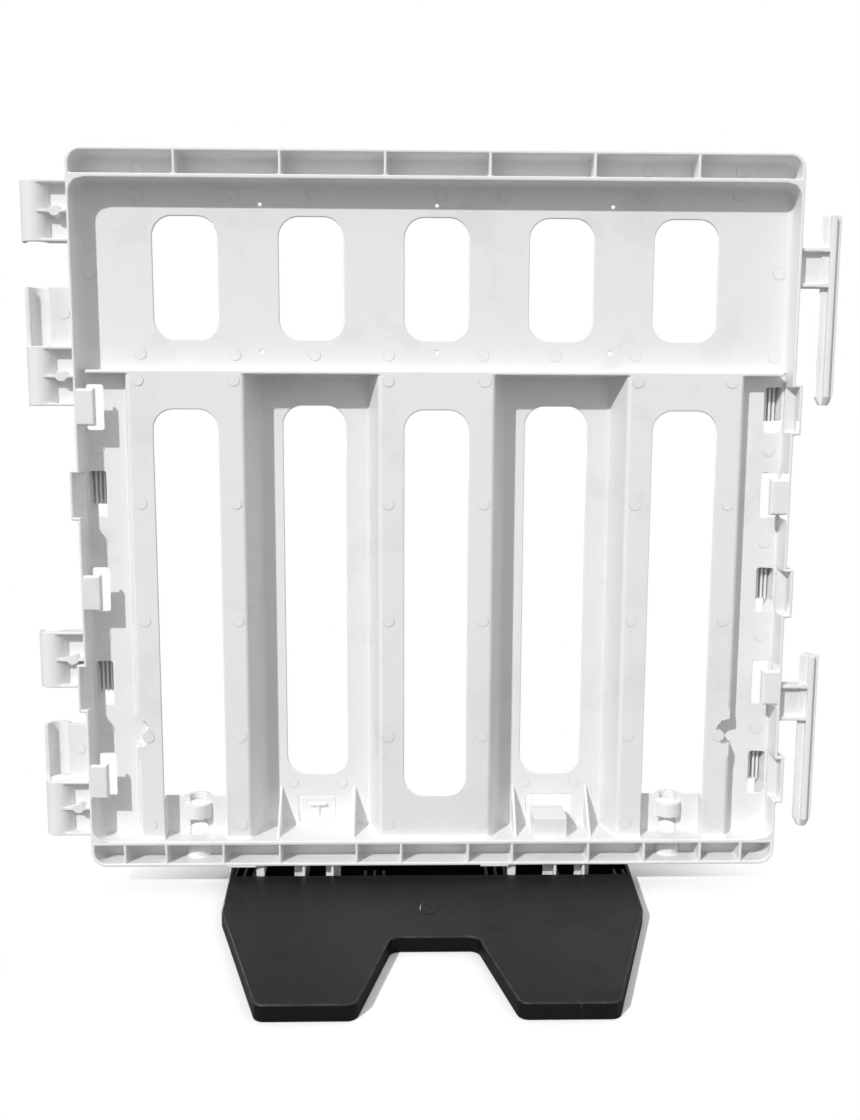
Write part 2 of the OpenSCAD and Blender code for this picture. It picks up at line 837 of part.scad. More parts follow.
module foot_ribs() {
    reach_x = floor(foot_rear_half / foot_rib_pitch);
    reach_y = floor(foot_front_y / foot_rib_pitch);
    thin = wall * 0.75;
    color(foot_black)
        difference() {
            intersection() {
                foot_prism(wall, wall / 4, foot_h - wall);
                union() {
                    for (i = [-reach_x : reach_x])
                        translate([foot_x + i * foot_rib_pitch - thin / 2, depth_y(-foot_front_y), 0])
                            cube([thin, foot_front_y + foot_rear_d, foot_h]);
                    for (i = [1 : reach_y])
                        translate([foot_x - foot_rear_half, trough_y0 - i * foot_rib_pitch, 0])
                            cube([2 * foot_rear_half, thin, foot_h]);
                }
            }
            trough_box(wall, -over, foot_h + over);
        }
}

// Ribs across the trough on both sides of one lug group, and a stop beside its first web
module socket_ribs(x, far_ribs) {
    deep = trough_y1 - trough_y0;
    first = -lug_peg_x - lug_peg_half - wall;
    color(foot_black)
        for (row = concat(
                [for (i = [0 : 2]) [first - i * socket_rib_pitch, deep]],
                [for (i = [0 : far_ribs - 1]) [socket_rib_x + i * socket_rib_pitch, deep / 2]],
                [[lug_clear + wall / 2, deep]]))
            translate([x + row[0] - wall / 2, trough_y0, wall])
                cube([wall, row[1], foot_h - wall]);
}

module left_socket_ribs() socket_ribs(foot_x - group_half, 3);
module right_socket_ribs() socket_ribs(foot_x + group_half, 2);

top_rail();
sign_face();
mid_rail();
bottom_rail();
left_stile();
right_stile();
left_pilaster();
centre_pilaster();
right_pilaster();
left_recess_panel();
right_recess_panel();
gussets();
left_peg_socket();
right_peg_socket();
left_edge_tabs();
right_edge_tabs();
left_catch_boxes();
right_catch_boxes();
upper_knuckles();
lower_knuckles();
upper_link_pin();
lower_link_pin();
latch_tongue();
latch_hook();
left_base_lugs();
right_base_lugs();
foot_shell();
foot_ribs();
left_socket_ribs();
right_socket_ribs();
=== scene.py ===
"""Studio scene of a white moulded pedestrian barrier panel standing in its flat black foot.

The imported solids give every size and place. Each solid is copied as a moulded piece with rounded
edges. Coves soften the inner corners where neighbouring solids meet, ejector marks and a gate mark
lie on the faces, fins guide a neighbour's tabs into the catch boxes, and two moulded plastics finish
the pieces. Lengths are in metres.
"""

import json
import logging
import math
from dataclasses import dataclass, field
from enum import Enum
from typing import Any, Iterable, Sequence

import bmesh
import bpy
from bmesh.types import BMEdge, BMesh, BMFace, BMVert
from bpy.types import Material, Mesh, Node, NodeSocket, NodeTree, Object
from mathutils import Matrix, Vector, geometry
from mathutils.bvhtree import BVHTree


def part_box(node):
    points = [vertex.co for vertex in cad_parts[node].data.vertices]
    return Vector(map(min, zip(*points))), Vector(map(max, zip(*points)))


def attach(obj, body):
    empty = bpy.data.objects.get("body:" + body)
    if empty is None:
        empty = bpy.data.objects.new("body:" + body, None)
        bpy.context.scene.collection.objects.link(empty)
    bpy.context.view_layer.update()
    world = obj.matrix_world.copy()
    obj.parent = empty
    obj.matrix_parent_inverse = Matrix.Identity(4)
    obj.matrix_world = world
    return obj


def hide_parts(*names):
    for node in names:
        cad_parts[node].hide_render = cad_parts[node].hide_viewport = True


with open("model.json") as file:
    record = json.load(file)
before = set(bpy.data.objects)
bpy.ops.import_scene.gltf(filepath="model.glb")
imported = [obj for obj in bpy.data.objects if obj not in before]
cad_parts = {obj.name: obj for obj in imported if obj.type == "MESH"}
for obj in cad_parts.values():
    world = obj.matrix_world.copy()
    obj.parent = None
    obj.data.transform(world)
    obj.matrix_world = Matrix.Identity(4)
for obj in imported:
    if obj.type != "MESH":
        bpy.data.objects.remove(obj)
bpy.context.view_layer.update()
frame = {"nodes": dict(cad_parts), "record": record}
LOG = logging.getLogger("barrier_panel")

EDGE_ATTRIBUTE = "edge"
# Sloped sides of mould marks, which take a darker colour as painted shade
RIM_SHADE_ATTRIBUTE = "rim_shade"

# Heights of the clip holes' middles, from the lowest up
CLIP_ROWS = (0.1665, 0.3045, 0.4425, 0.5805, 0.7025)
# Distance within which a point counts as lying on a face
ON_FACE = 1e-5
# Material index of the rounded faces while a piece is being made
ROUNDED = 1
# Colour sockets of a Mix node
MIX_FIRST, MIX_SECOND, MIX_RESULT = 6, 7, 2
# Corners of each face of a box that has its first four corners on one side
BOX_FACES = ((0, 1, 3, 2), (4, 5, 7, 6), (0, 1, 5, 4), (2, 3, 7, 6), (0, 2, 6, 4), (1, 3, 7, 5))

FRONT = Vector((0, -1, 0))
UP = Vector((0, 0, 1))
RIGHT = Vector((1, 0, 0))

Triple = tuple[float, float, float]
Colour = Triple
Range = tuple[float, float]
Places = tuple[tuple[float, float], ...]
Station = tuple[Vector, Vector, Vector]


class Body(Enum):
    """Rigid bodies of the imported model."""

    FOOT = "foot"
    PANEL = "panel"
    TONGUE = "tongue"


class Slot(Enum):
    """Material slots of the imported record."""

    PANEL = "panel_plastic"
    FOOT = "foot_plastic"


class Facing(Enum):
    """Turn that lays a mark, drawn on the X-Y plane, on a face that looks the named way."""

    FRONT = (math.radians(90), 0.0, 0.0)
    UP = (0.0, 0.0, 0.0)


# Shader node groups


def add_node(tree: NodeTree, kind: str, settings: dict[str, Any] | None = None,
             values: dict[Any, Any] | None = None) -> Node:
    """Adds a node and fills its plain sockets.

    Args:
        tree: Tree that takes the node.
        kind: Identifier of the node's type.
        settings: Properties of the node.
        values: Values or output sockets by input name or index; a socket is linked.

    Returns:
        The new node.
    """
    node = tree.nodes.new(kind)
    for name, value in (settings or {}).items():
        setattr(node, name, value)
    for key, value in (values or {}).items():
        if isinstance(value, NodeSocket):
            tree.links.new(value, node.inputs[key])
        else:
            node.inputs[key].default_value = value
    return node


def mix_colours(tree: NodeTree, factor: NodeSocket, first: Any, second: Any) -> NodeSocket:
    """Mixes two colours by a mask.

    Args:
        tree: Tree that takes the mix.
        factor: Mask socket.
        first: Colour or socket where the mask is 0.
        second: Colour or socket where the mask is 1.

    Returns:
        The mixed colour's socket.
    """
    values = {0: factor}
    for index, colour in ((MIX_FIRST, first), (MIX_SECOND, second)):
        values[index] = colour if isinstance(colour, NodeSocket) else (*colour, 1.0)
    return add_node(tree, "ShaderNodeMix", {"data_type": "RGBA"}, values).outputs[MIX_RESULT]


def math_node(tree: NodeTree, operation: str, first: Any, second: Any) -> NodeSocket:
    """Adds one arithmetic step.

    Args:
        tree: Tree that takes the step.
        operation: Name of the operation.
        first: Number or socket.
        second: Number or socket.

    Returns:
        The result's socket.
    """
    return add_node(tree, "ShaderNodeMath", {"operation": operation}, {0: first, 1: second}).outputs[0]


def ramp(tree: NodeTree, value: NodeSocket, low: float, high: float,
         to_low: float = 0.0, to_high: float = 1.0) -> NodeSocket:
    """Maps a value smoothly from one range onto another.

    Args:
        tree: Tree that takes the node.
        value: Socket to map.
        low: Value that becomes to_low.
        high: Value that becomes to_high.
        to_low: First end of the result.
        to_high: Second end of the result.

    Returns:
        The mapped value's socket.
    """
    values = {"Value": value, "From Min": low, "From Max": high, "To Min": to_low, "To Max": to_high}
    node = add_node(tree, "ShaderNodeMapRange", {"interpolation_type": "SMOOTHSTEP"}, values)
    return node.outputs["Result"]


@dataclass
class SurfaceEffects:
    """Shader groups that both plastics share. A range of a noise value becomes a mask from 0 to 1."""

    smudge_range: Range = (0.5, 0.66)
    scratch_turn: Triple = (0.35, 0.2, 0.5)
    scratch_stretch: Triple = (1.0, 1.0, 0.16)
    scratch_width: float = 0.012
    scratch_range: Range = (0.55, 0.75)
    wear_range: Range = (0.42, 0.68)
    # Least share of the edge lightening on every rounded edge: a painted highlight under the wear
    highlight_floor: float = 0.4
    grain: NodeTree = field(init=False)
    handling: NodeTree = field(init=False)
    wear_and_highlight: NodeTree = field(init=False)

    def __post_init__(self) -> None:
        """Builds the three groups once."""
        self.grain = self.build_grain()
        self.handling = self.build_handling()
        self.wear_and_highlight = self.build_wear_and_highlight()

    @staticmethod
    def new_group(name: str, inputs: dict[str, float],
                  outputs: Sequence[str]) -> tuple[NodeTree, Node, Node]:
        """Starts a shader group with a coordinate input.

        Args:
            name: Name of the group.
            inputs: Name and default value of each further input.
            outputs: Names of the value outputs.

        Returns:
            The tree, its input node and its output node.
        """
        tree = bpy.data.node_groups.new(name, "ShaderNodeTree")
        tree.interface.new_socket("Coordinate", in_out="INPUT", socket_type="NodeSocketVector")
        for label, value in inputs.items():
            socket = tree.interface.new_socket(label, in_out="INPUT", socket_type="NodeSocketFloat")
            socket.default_value = value
        for label in outputs:
            tree.interface.new_socket(label, in_out="OUTPUT", socket_type="NodeSocketFloat")
        return tree, tree.nodes.new("NodeGroupInput"), tree.nodes.new("NodeGroupOutput")

    @staticmethod
    def noise(tree: NodeTree, place: NodeSocket, scale: Any, detail: float,
              roughness: float = 0.5) -> NodeSocket:
        """Adds a noise texture.

        Args:
            tree: Tree that takes the texture.
            place: Coordinate socket.
            scale: Scale or socket.
            detail: Number of octaves.
            roughness: Strength of each further octave.

        Returns:
            The noise value's socket.
        """
        values = {"Vector": place, "Scale": scale, "Detail": detail, "Roughness": roughness}
        return add_node(tree, "ShaderNodeTexNoise", {}, values).outputs[0]

    def build_grain(self) -> NodeTree:
        """Makes the spark-eroded grain of the mould and the slow waviness of thick plastic.

        Returns:
            The group, with a height in metres as its output.
        """
        tree, source, sink = self.new_group(
            "Moulded grain",
            {"Grain scale": 1400.0, "Grain depth": 0.00002, "Wave scale": 14.0, "Wave depth": 0.0004},
            ("Height",))
        place = source.outputs["Coordinate"]
        fine = self.noise(tree, place, source.outputs["Grain scale"], detail=2.0)
        slow = self.noise(tree, place, source.outputs["Wave scale"], detail=1.0)
        fine = math_node(tree, "MULTIPLY", fine, source.outputs["Grain depth"])
        slow = math_node(tree, "MULTIPLY", slow, source.outputs["Wave depth"])
        tree.links.new(math_node(tree, "ADD", fine, slow), sink.inputs["Height"])
        return tree

    def build_handling(self) -> NodeTree:
        """Makes cloudy smudges and sparse thin scratches.

        Returns:
            The group, with a smudge mask and a scratch mask as its outputs.
        """
        tree, source, sink = self.new_group(
            "Handling marks", {"Patch scale": 9.0, "Scratch scale": 26.0}, ("Smudge", "Scratch"))
        place = source.outputs["Coordinate"]
        broad = self.noise(tree, place, source.outputs["Patch scale"], detail=6.0, roughness=0.62)
        tree.links.new(ramp(tree, broad, *self.smudge_range), sink.inputs["Smudge"])
        stretch = add_node(tree, "ShaderNodeMapping", {},
                           {"Vector": place, "Rotation": self.scratch_turn, "Scale": self.scratch_stretch})
        lines = add_node(tree, "ShaderNodeTexVoronoi", {"feature": "DISTANCE_TO_EDGE"},
                         {"Vector": stretch.outputs[0], "Scale": source.outputs["Scratch scale"],
                          "Randomness": 1.0})
        thin = ramp(tree, lines.outputs["Distance"], self.scratch_width, 0.0)
        patch = self.noise(tree, place, source.outputs["Patch scale"], detail=3.0)
        where = ramp(tree, patch, *self.scratch_range)
        tree.links.new(math_node(tree, "MULTIPLY", thin, where), sink.inputs["Scratch"])
        return tree

    def build_wear_and_highlight(self) -> NodeTree:
        """Lightens every rounded edge a little as a painted highlight, and more in rubbed stretches of
        wear.

        Returns:
            The group, with a mask of wear and painted highlight as its output.
        """
        tree, source, sink = self.new_group("Edge wear and highlight", {"Edge": 0.0, "Breakup scale": 40.0}, ("Wear and highlight",))
        rough = self.noise(tree, source.outputs["Coordinate"], source.outputs["Breakup scale"],
                           detail=4.0, roughness=0.6)
        where = ramp(tree, rough, *self.wear_range, self.highlight_floor, 1.0)
        tree.links.new(math_node(tree, "MULTIPLY", where, source.outputs["Edge"]), sink.inputs["Wear and highlight"])
        return tree


@dataclass(frozen=True)
class PlasticFinish:
    """Moulded plastic with grain, smudges, scratches, edge wear with a painted highlight, and painted shade
    on mark sides.
    """

    name: str
    colour: Colour
    smudge_colour: Colour
    scratch_colour: Colour
    wear_and_highlight_colour: Colour
    rim_shade_colour: Colour
    roughness: Range
    edge_polish: float
    specular: float
    smudge_amount: float
    scratch_amount: float
    wear_and_highlight_amount: float
    grain_scale: float
    grain_depth: float
    wave_depth: float
    patch_scale: float

    def material(self, effects: SurfaceEffects) -> Material:
        """Builds the material once and finds it again later.

        Args:
            effects: Shared shader groups.

        Returns:
            The finish's material.
        """
        found = bpy.data.materials.get(self.name)
        if found is not None:
            return found
        material = bpy.data.materials.new(self.name)
        material.use_nodes = True
        material.diffuse_color = (*self.colour, 1.0)
        tree = material.node_tree
        shader = tree.nodes["Principled BSDF"]
        shader.inputs["Specular IOR Level"].default_value = self.specular
        place = add_node(tree, "ShaderNodeTexCoord").outputs["Object"]
        edge = add_node(tree, "ShaderNodeAttribute", {"attribute_name": EDGE_ATTRIBUTE}).outputs["Fac"]
        # Sides of mould marks, for painted shade
        rim_shade = add_node(tree, "ShaderNodeAttribute", {"attribute_name": RIM_SHADE_ATTRIBUTE}).outputs["Fac"]

        marks = add_node(tree, "ShaderNodeGroup", {"node_tree": effects.handling},
                         {"Coordinate": place, "Patch scale": self.patch_scale})
        wear_and_highlight = add_node(tree, "ShaderNodeGroup", {"node_tree": effects.wear_and_highlight},
                        {"Coordinate": place, "Edge": edge})
        grain = add_node(tree, "ShaderNodeGroup", {"node_tree": effects.grain},
                         {"Coordinate": place, "Grain scale": self.grain_scale,
                          "Grain depth": self.grain_depth, "Wave depth": self.wave_depth})
        smudge = math_node(tree, "MULTIPLY", marks.outputs["Smudge"], self.smudge_amount)
        scratch = math_node(tree, "MULTIPLY", marks.outputs["Scratch"], self.scratch_amount)
        # Rounded edges made lighter by wear and by a painted highlight
        worn_highlit_edges = math_node(tree, "MULTIPLY", wear_and_highlight.outputs["Wear and highlight"], self.wear_and_highlight_amount)
        colour = mix_colours(tree, smudge, self.colour, self.smudge_colour)
        colour = mix_colours(tree, scratch, colour, self.scratch_colour)
        colour = mix_colours(tree, worn_highlit_edges, colour, self.wear_and_highlight_colour)
        # Painted shade on the sloped sides of mould marks
        colour = mix_colours(tree, rim_shade, colour, self.rim_shade_colour)
        tree.links.new(colour, shader.inputs["Base Color"])
        dull = ramp(tree, marks.outputs["Smudge"], 0.0, 1.0, *self.roughness)
        polish = math_node(tree, "MULTIPLY", edge, self.edge_polish)
        tree.links.new(math_node(tree, "SUBTRACT", dull, polish), shader.inputs["Roughness"])
        bump = add_node(tree, "ShaderNodeBump", {},
                        {"Strength": 1.0, "Distance": 1.0, "Height": grain.outputs["Height"]})
        tree.links.new(bump.outputs["Normal"], shader.inputs["Normal"])
        return material


WHITE_PLASTIC = PlasticFinish(
    name="white_moulded_plastic",
    colour=(0.83, 0.83, 0.825),
    smudge_colour=(0.74, 0.74, 0.735),
    scratch_colour=(0.62, 0.62, 0.61),
    # Edge colour: wear together with a painted highlight
    wear_and_highlight_colour=(0.9, 0.9, 0.895),
    # Painted shade on the sides of mould marks
    rim_shade_colour=(0.6, 0.6, 0.59),
    roughness=(0.4, 0.52),
    edge_polish=0.06,
    specular=0.45,
    smudge_amount=0.6,
    scratch_amount=0.6,
    wear_and_highlight_amount=0.5,
    grain_scale=1500.0,
    grain_depth=0.000012,
    wave_depth=0.00025,
    patch_scale=9.0,
)
BLACK_PLASTIC = PlasticFinish(
    name="black_moulded_plastic",
    colour=(0.0032, 0.0032, 0.0034),
    smudge_colour=(0.005, 0.005, 0.0052),
    scratch_colour=(0.07, 0.07, 0.07),
    # Edge colour: wear together with a painted highlight along the foot's edges
    wear_and_highlight_colour=(0.09, 0.09, 0.091),
    # Painted shade on the sides of the gate mark
    rim_shade_colour=(0.001, 0.001, 0.001),
    roughness=(0.44, 0.52),
    edge_polish=0.0,
    specular=0.31,
    smudge_amount=0.6,
    scratch_amount=0.5,
    wear_and_highlight_amount=0.5,
    grain_scale=1200.0,
    grain_depth=0.00002,
    wave_depth=0.0002,
    patch_scale=7.0,
)


# Moulded copies of the solids


@dataclass
class SolidTest:
    """Tells whether a point lies in a body's solids, so that touching edges stay sharp."""

    nodes: Sequence[str]
    ray: Vector = field(default_factory=lambda: Vector((0.5377, 0.3129, 0.7829)).normalized())
    digits: int = 7
    nudge: float = 1e-6
    trees: dict[str, tuple[Vector, Vector, BVHTree]] = field(init=False, default_factory=dict)
    known: dict[tuple, bool] = field(init=False, default_factory=dict)

    def __post_init__(self) -> None:
        """Makes a search tree for each solid's mesh."""
        for node in self.nodes:
            mesh = frame["nodes"][node].data
            mesh.calc_loop_triangles()
            points = [vertex.co.copy() for vertex in mesh.vertices]
            triangles = [tuple(triangle.vertices) for triangle in mesh.loop_triangles]
            low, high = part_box(node)
            self.trees[node] = (low, high, BVHTree.FromPolygons(points, triangles))

    def filled(self, point: Vector, skip: str) -> bool:
        """Tells whether a neighbour holds a point, and remembers the answer."""
        key = (skip, *(round(value, self.digits) for value in point))
        if key not in self.known:
            self.known[key] = self.cast(point, skip)
        return self.known[key]

    def cast(self, point: Vector, skip: str) -> bool:
        """Counts how often a ray from the point leaves a solid.

        Args:
            point: Point to test.
            skip: Node that isn't tested.

        Returns:
            True where a solid other than skip holds the point.
        """
        for node, (low, high, tree) in self.trees.items():
            if node == skip or any(point[i] < low[i] or point[i] > high[i] for i in range(3)):
                continue
            hits = 0
            start = point
            while True:
                hit = tree.ray_cast(start, self.ray)[0]
                if hit is None:
                    break
                hits += 1
                start = hit + self.ray * self.nudge
            if hits % 2:
                return True
        return False


def settle(piece: Object) -> Mesh:
    """Turns a piece with its modifiers into a plain mesh.

    Args:
        piece: Object whose modifiers are applied and removed.

    Returns:
        The piece's new mesh.
    """
    depsgraph = bpy.context.evaluated_depsgraph_get()
    depsgraph.update()
    mesh = bpy.data.meshes.new_from_object(piece.evaluated_get(depsgraph), preserve_all_data_layers=True,
                                           depsgraph=depsgraph)
    old = piece.data
    piece.modifiers.clear()
    piece.data = mesh
    bpy.data.meshes.remove(old)
    mesh.name = piece.name
    return mesh


def new_piece(name: str, mesh: Mesh) -> Object:
    """Puts a mesh into the scene as a piece at the origin.

    Args:
        name: Name of the piece.
        mesh: Mesh with its place in its vertices.

    Returns:
        The new object.
    """
    piece = bpy.data.objects.new(name, mesh)
    bpy.context.scene.collection.objects.link(piece)
    return piece


@dataclass
class FlatFaces:
    """Joins a solid's triangles into flat faces, cut square across each hole for clean rounding."""

    bm: BMesh
    weld: float = 2e-6
    cut_width: float = 1e-7
    flat_angle: float = math.radians(0.5)

    def join(self) -> None:
        """Welds the mesh, opens its holes and joins what is flat."""
        bm = self.bm
        bmesh.ops.remove_doubles(bm, verts=bm.verts, dist=self.weld)
        bm.normal_update()
        for region in self.regions():
            self.open_holes(region)
        bmesh.ops.dissolve_limit(bm, angle_limit=self.flat_angle, verts=bm.verts, edges=bm.edges,
                                 delimit={"SEAM"})
        bm.normal_update()

    def regions(self) -> list[list[BMFace]]:
        """Gathers neighbouring faces that lie in one plane, in the same order each run.

        Returns:
            The faces of each flat region.
        """
        found: list[list[BMFace]] = []
        seen: set[BMFace] = set()
        limit = math.cos(self.flat_angle)
        for start in self.bm.faces:
            if start in seen:
                continue
            seen.add(start)
            region = [start]
            for face in region:
                for other in (other for edge in face.edges for other in edge.link_faces):
                    if other not in seen and other.normal.dot(start.normal) > limit:
                        seen.add(other)
                        region.append(other)
            found.append(region)
        return found

    @staticmethod
    def outlines(region: list[BMFace]) -> list[tuple[Vector, Vector]]:
        """Boxes the closed outlines of a region.

        Args:
            region: Faces in one plane.

        Returns:
            Lowest and highest corner of each outline, the largest last.
        """
        inside = set(region)
        links: dict[BMVert, list[BMVert]] = {}
        for face in region:
            for edge in face.edges:
                if any(other not in inside for other in edge.link_faces):
                    first, second = edge.verts
                    links.setdefault(first, []).append(second)
                    links.setdefault(second, []).append(first)
        boxes = []
        seen: set[BMVert] = set()
        for start in links:
            if start in seen:
                continue
            seen.add(start)
            loop = [start]
            for vertex in loop:
                for other in links[vertex]:
                    if other not in seen:
                        seen.add(other)
                        loop.append(other)
            low = Vector([min(vertex.co[i] for vertex in loop) for i in range(3)])
            high = Vector([max(vertex.co[i] for vertex in loop) for i in range(3)])
            boxes.append((low, high))
        return sorted(boxes, key=lambda box: (box[0] - box[1]).length)

    def open_holes(self, region: list[BMFace]) -> None:
        """Cuts a region across the middle of each hole, the shorter way.

        Args:
            region: Faces in one plane.
        """
        *holes, outer = self.outlines(region)
        if not holes:
            return
        normal = region[0].normal.copy()
        level = max(range(3), key=lambda i: abs(normal[i]))
        axes = [i for i in range(3) if i != level]
        cuts: list[tuple[int, float]] = []
        for low, high in holes:
            if any(low[axis] < place < high[axis] for axis, place in cuts):
                continue
            centre = (low + high) / 2
            lengths = []
            for axis, along in (axes, reversed(axes)):
                crossed = sum(h[along] - l[along] for l, h in holes if l[axis] < centre[axis] < h[axis])
                lengths.append((outer[1][along] - outer[0][along] - crossed, axis))
            axis = min(lengths)[1]
            cuts.append((axis, centre[axis]))
        faces = region
        for axis, place in cuts:
            parts = dict.fromkeys([*faces, *(edge for face in faces for edge in face.edges),
                                   *(vertex for face in faces for vertex in face.verts)])
            direction = Vector([float(i == axis) for i in range(3)])
            result = bmesh.ops.bisect_plane(self.bm, geom=list(parts), dist=self.cut_width,
                                            plane_co=direction * place, plane_no=direction)
            faces = [item for item in result["geom"] if isinstance(item, BMFace)]
            for item in result["geom_cut"]:
                if isinstance(item, BMEdge):
                    item.seam = True


@dataclass
class SubAssembly:
    """Moulded pieces that belong together."""

    finish: PlasticFinish
    effects: SurfaceEffects
    solids: SolidTest
    nodes: tuple[str, ...] = ()
    body: Body = Body.PANEL
    slot: Slot = Slot.PANEL
    # Roundings of outer and inner edges; an edge with a larger angle than knife_angle gets none
    edge_radius: float = 0.0018
    inner_radius: float = 0.003
    segments: int = 3
    knife_angle: float = math.radians(165)
    # Search along an edge for the stretches that no neighbour touches
    probe: float = 0.0003
    step: float = 0.004
    least_samples: int = 3
    halvings: int = 6
    least_span: float = 2.0
    end_share: float = 1e-4
    # Tries at a rounding without folds; the later ones keep edges sharp further from a fold
    tries: int = 8
    plain_tries: int = 4
    keep_reach: float = 2.0
    fold_area: float = 1e-9
    fold_turn: float = -0.1
    fold_back: float = -0.98
    tiny: float = 1e-18
    # Shading of flat and rounded faces
    sharp_angle: float = math.radians(20)
    round_angle: float = math.radians(60)
    tip_reach: float = 3.0
    weld: float = 5e-7
    # Places that are kept sharp in the present try, and how many radii they reach
    kept_sharp: list[Vector] = field(init=False, default_factory=list)
    sharp_reach: float = field(init=False, default=0.0)

    def radius_at(self, node: str, edge: BMEdge) -> float:
        """Gives the radius of one sharp edge.

        Args:
            node: Node that the edge belongs to.
            edge: Sharp edge of the node's copy.

        Returns:
            The radius in metres, or 0 for an edge that stays sharp.
        """
        return self.edge_radius if edge.is_convex else self.inner_radius

    def build(self) -> list[Object]:
        """Makes all pieces of the sub-assembly and dresses them.

        Returns:
            The finished pieces.
        """
        pieces = []
        for node in self.nodes:
            piece = self.moulded_copy(node)
            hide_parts(node)
            pieces.append(piece)
        pieces.extend(self.details())
        for piece in pieces:
            self.dress(piece)
        return pieces

    def details(self) -> list[Object]:
        """Makes the pieces that no solid stands for; most sub-assemblies have none."""
        return []

    def dress(self, piece: Object) -> None:
        """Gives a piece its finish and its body.

        Args:
            piece: Piece to dress.
        """
        piece.data.materials.clear()
        piece.data.materials.append(self.finish.material(self.effects))
        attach(piece, self.body.value)
        LOG.info("%s rides on %s with %d faces", piece.name, self.body.value, len(piece.data.polygons))

    def covered(self, node: str, point: Vector, probes: Iterable[Vector], reach: float) -> bool:
        """Tells whether an edge stays sharp at one point.

        Args:
            node: Node that the edge belongs to.
            point: Point on the edge.
            probes: Directions of the open space round the edge.
            reach: Distance within which a point that is kept sharp counts.

        Returns:
            True beside a neighbour and beside a point that is kept sharp.
        """
        if any((point - sharp).length < reach for sharp in self.kept_sharp):
            return True
        return any(self.solids.filled(point + probe * self.probe, node) for probe in probes)

    @staticmethod
    def probes(edge: BMEdge) -> list[Vector]:
        """Gives the directions of the open space round an edge.

        Args:
            edge: Edge between two faces.

        Returns:
            Directions above each face and between the two faces.
        """
        first, second = edge.link_faces
        between = (first.normal + second.normal).normalized()
        if not edge.is_convex:
            return [between]
        along = (edge.verts[1].co - edge.verts[0].co).normalized()
        found = [between]
        for face, other in ((first, second), (second, first)):
            inwards = face.normal.cross(along)
            if inwards.dot(other.normal) > 0:
                inwards = -inwards
            found.append((face.normal + inwards).normalized())
        return found

    def free_spans(self, node: str, edge: BMEdge, radius: float) -> list[tuple[float, float]]:
        """Finds the stretches of an edge that no neighbour touches.

        Args:
            node: Node that the edge belongs to.
            edge: Sharp edge.
            radius: Radius that the edge gets, by which a stretch stops short of a neighbour.

        Returns:
            Start and end of each stretch as shares of the edge's length.
        """
        start, end = edge.verts[0].co.copy(), edge.verts[1].co.copy()
        length = (end - start).length
        probes = self.probes(edge)
        reach = self.sharp_reach * radius
        count = max(self.least_samples, int(length / self.step))
        places = [(i + 0.5) / count for i in range(count)]
        free = [not self.covered(node, start.lerp(end, t), probes, reach) for t in places]
        spans = []
        opened = 0.0 if free[0] else None
        for i in range(1, count):
            if free[i] == free[i - 1]:
                continue
            low, high = places[i - 1], places[i]
            for _ in range(self.halvings):
                middle = (low + high) / 2
                if self.covered(node, start.lerp(end, middle), probes, reach) == free[i - 1]:
                    high = middle
                else:
                    low = middle
            if free[i]:
                opened = high + radius / length
            else:
                spans.append((opened, low - radius / length))
                opened = None
        if opened is not None:
            spans.append((opened, 1.0))
        shortest = self.least_span * radius
        return [(a, b) for a, b in spans if (b - a) * length > shortest or (a, b) == (0.0, 1.0)]

    def mark_edges(self, node: str, bm: BMesh) -> float:
        """Splits the sharp edges at their neighbours and weighs the free stretches.

        Args:
            node: Node that the mesh copies.
            bm: Mesh with merged vertices and flat faces.

        Returns:
            The largest radius, which a weight of 1 stands for.
        """
        weights = bm.edges.layers.float.new("bevel_weight_edge")
        wanted: dict[BMEdge, float] = {}
        sharp = [edge for edge in bm.edges
                 if len(edge.link_faces) == 2 and edge.calc_face_angle() > self.sharp_angle]
        for edge in sharp:
            radius = self.radius_at(node, edge)
            if radius <= 0 or edge.calc_face_angle() > self.knife_angle:
                continue
            spans = self.free_spans(node, edge, radius)
            cuts = sorted({t for span in spans for t in span if self.end_share < t < 1 - self.end_share})
            begin, vertex = 0.0, edge.verts[0]
            parts = []
            for cut in cuts:
                part, vertex = bmesh.utils.edge_split(edge, vertex, (cut - begin) / (1 - begin))
                parts.append((part, (begin + cut) / 2))
                begin = cut
            parts.append((edge, (begin + 1) / 2))
            for part, middle in parts:
                if any(a <= middle <= b for a, b in spans):
                    wanted[part] = radius
        largest = max(wanted.values(), default=0.0)
        for edge, radius in wanted.items():
            edge[weights] = radius / largest
        return largest

    def mark_creases(self, mesh: Mesh, radius: float) -> None:
        """Welds doubled points and marks the edges that stay creased, so that flat faces look flat.

        Args:
            mesh: Rounded mesh, whose rounded faces have the second material.
            radius: Largest radius of the roundings.
        """
        bm = bmesh.new()
        bm.from_mesh(mesh)
        bmesh.ops.remove_doubles(bm, verts=bm.verts, dist=self.weld)
        for edge in bm.edges:
            rounded = any(face.material_index == ROUNDED for face in edge.link_faces)
            limit = self.round_angle if rounded else self.sharp_angle
            edge.smooth = edge.calc_face_angle(0.0) < limit
        tips = []
        for vertex in bm.verts:
            if sum(not edge.smooth for edge in vertex.link_edges) == 1:
                tips += [edge for edge in vertex.link_edges if edge.calc_length() < self.tip_reach * radius
                         and len({face.material_index for face in edge.link_faces}) == 2]
        for edge in tips:
            edge.smooth = False
        bm.to_mesh(mesh)
        bm.free()

    def moulded_copy(self, node: str) -> Object:
        """Copies a solid and rounds its free edges, but keeps them sharp where the rounding would fold.

        Args:
            node: Node to copy.

        Returns:
            The moulded piece.
        """
        self.kept_sharp = []
        for attempt in range(1, self.tries + 1):
            self.sharp_reach = self.keep_reach * max(1, attempt - self.plain_tries)
            piece = self.rounded_copy(node)
            folds = self.folds(piece.data)
            if not folds:
                return piece
            self.kept_sharp += folds
            mesh = piece.data
            bpy.data.objects.remove(piece)
            bpy.data.meshes.remove(mesh)
        LOG.warning("%s keeps %d folds", node, len(folds))
        return self.rounded_copy(node)

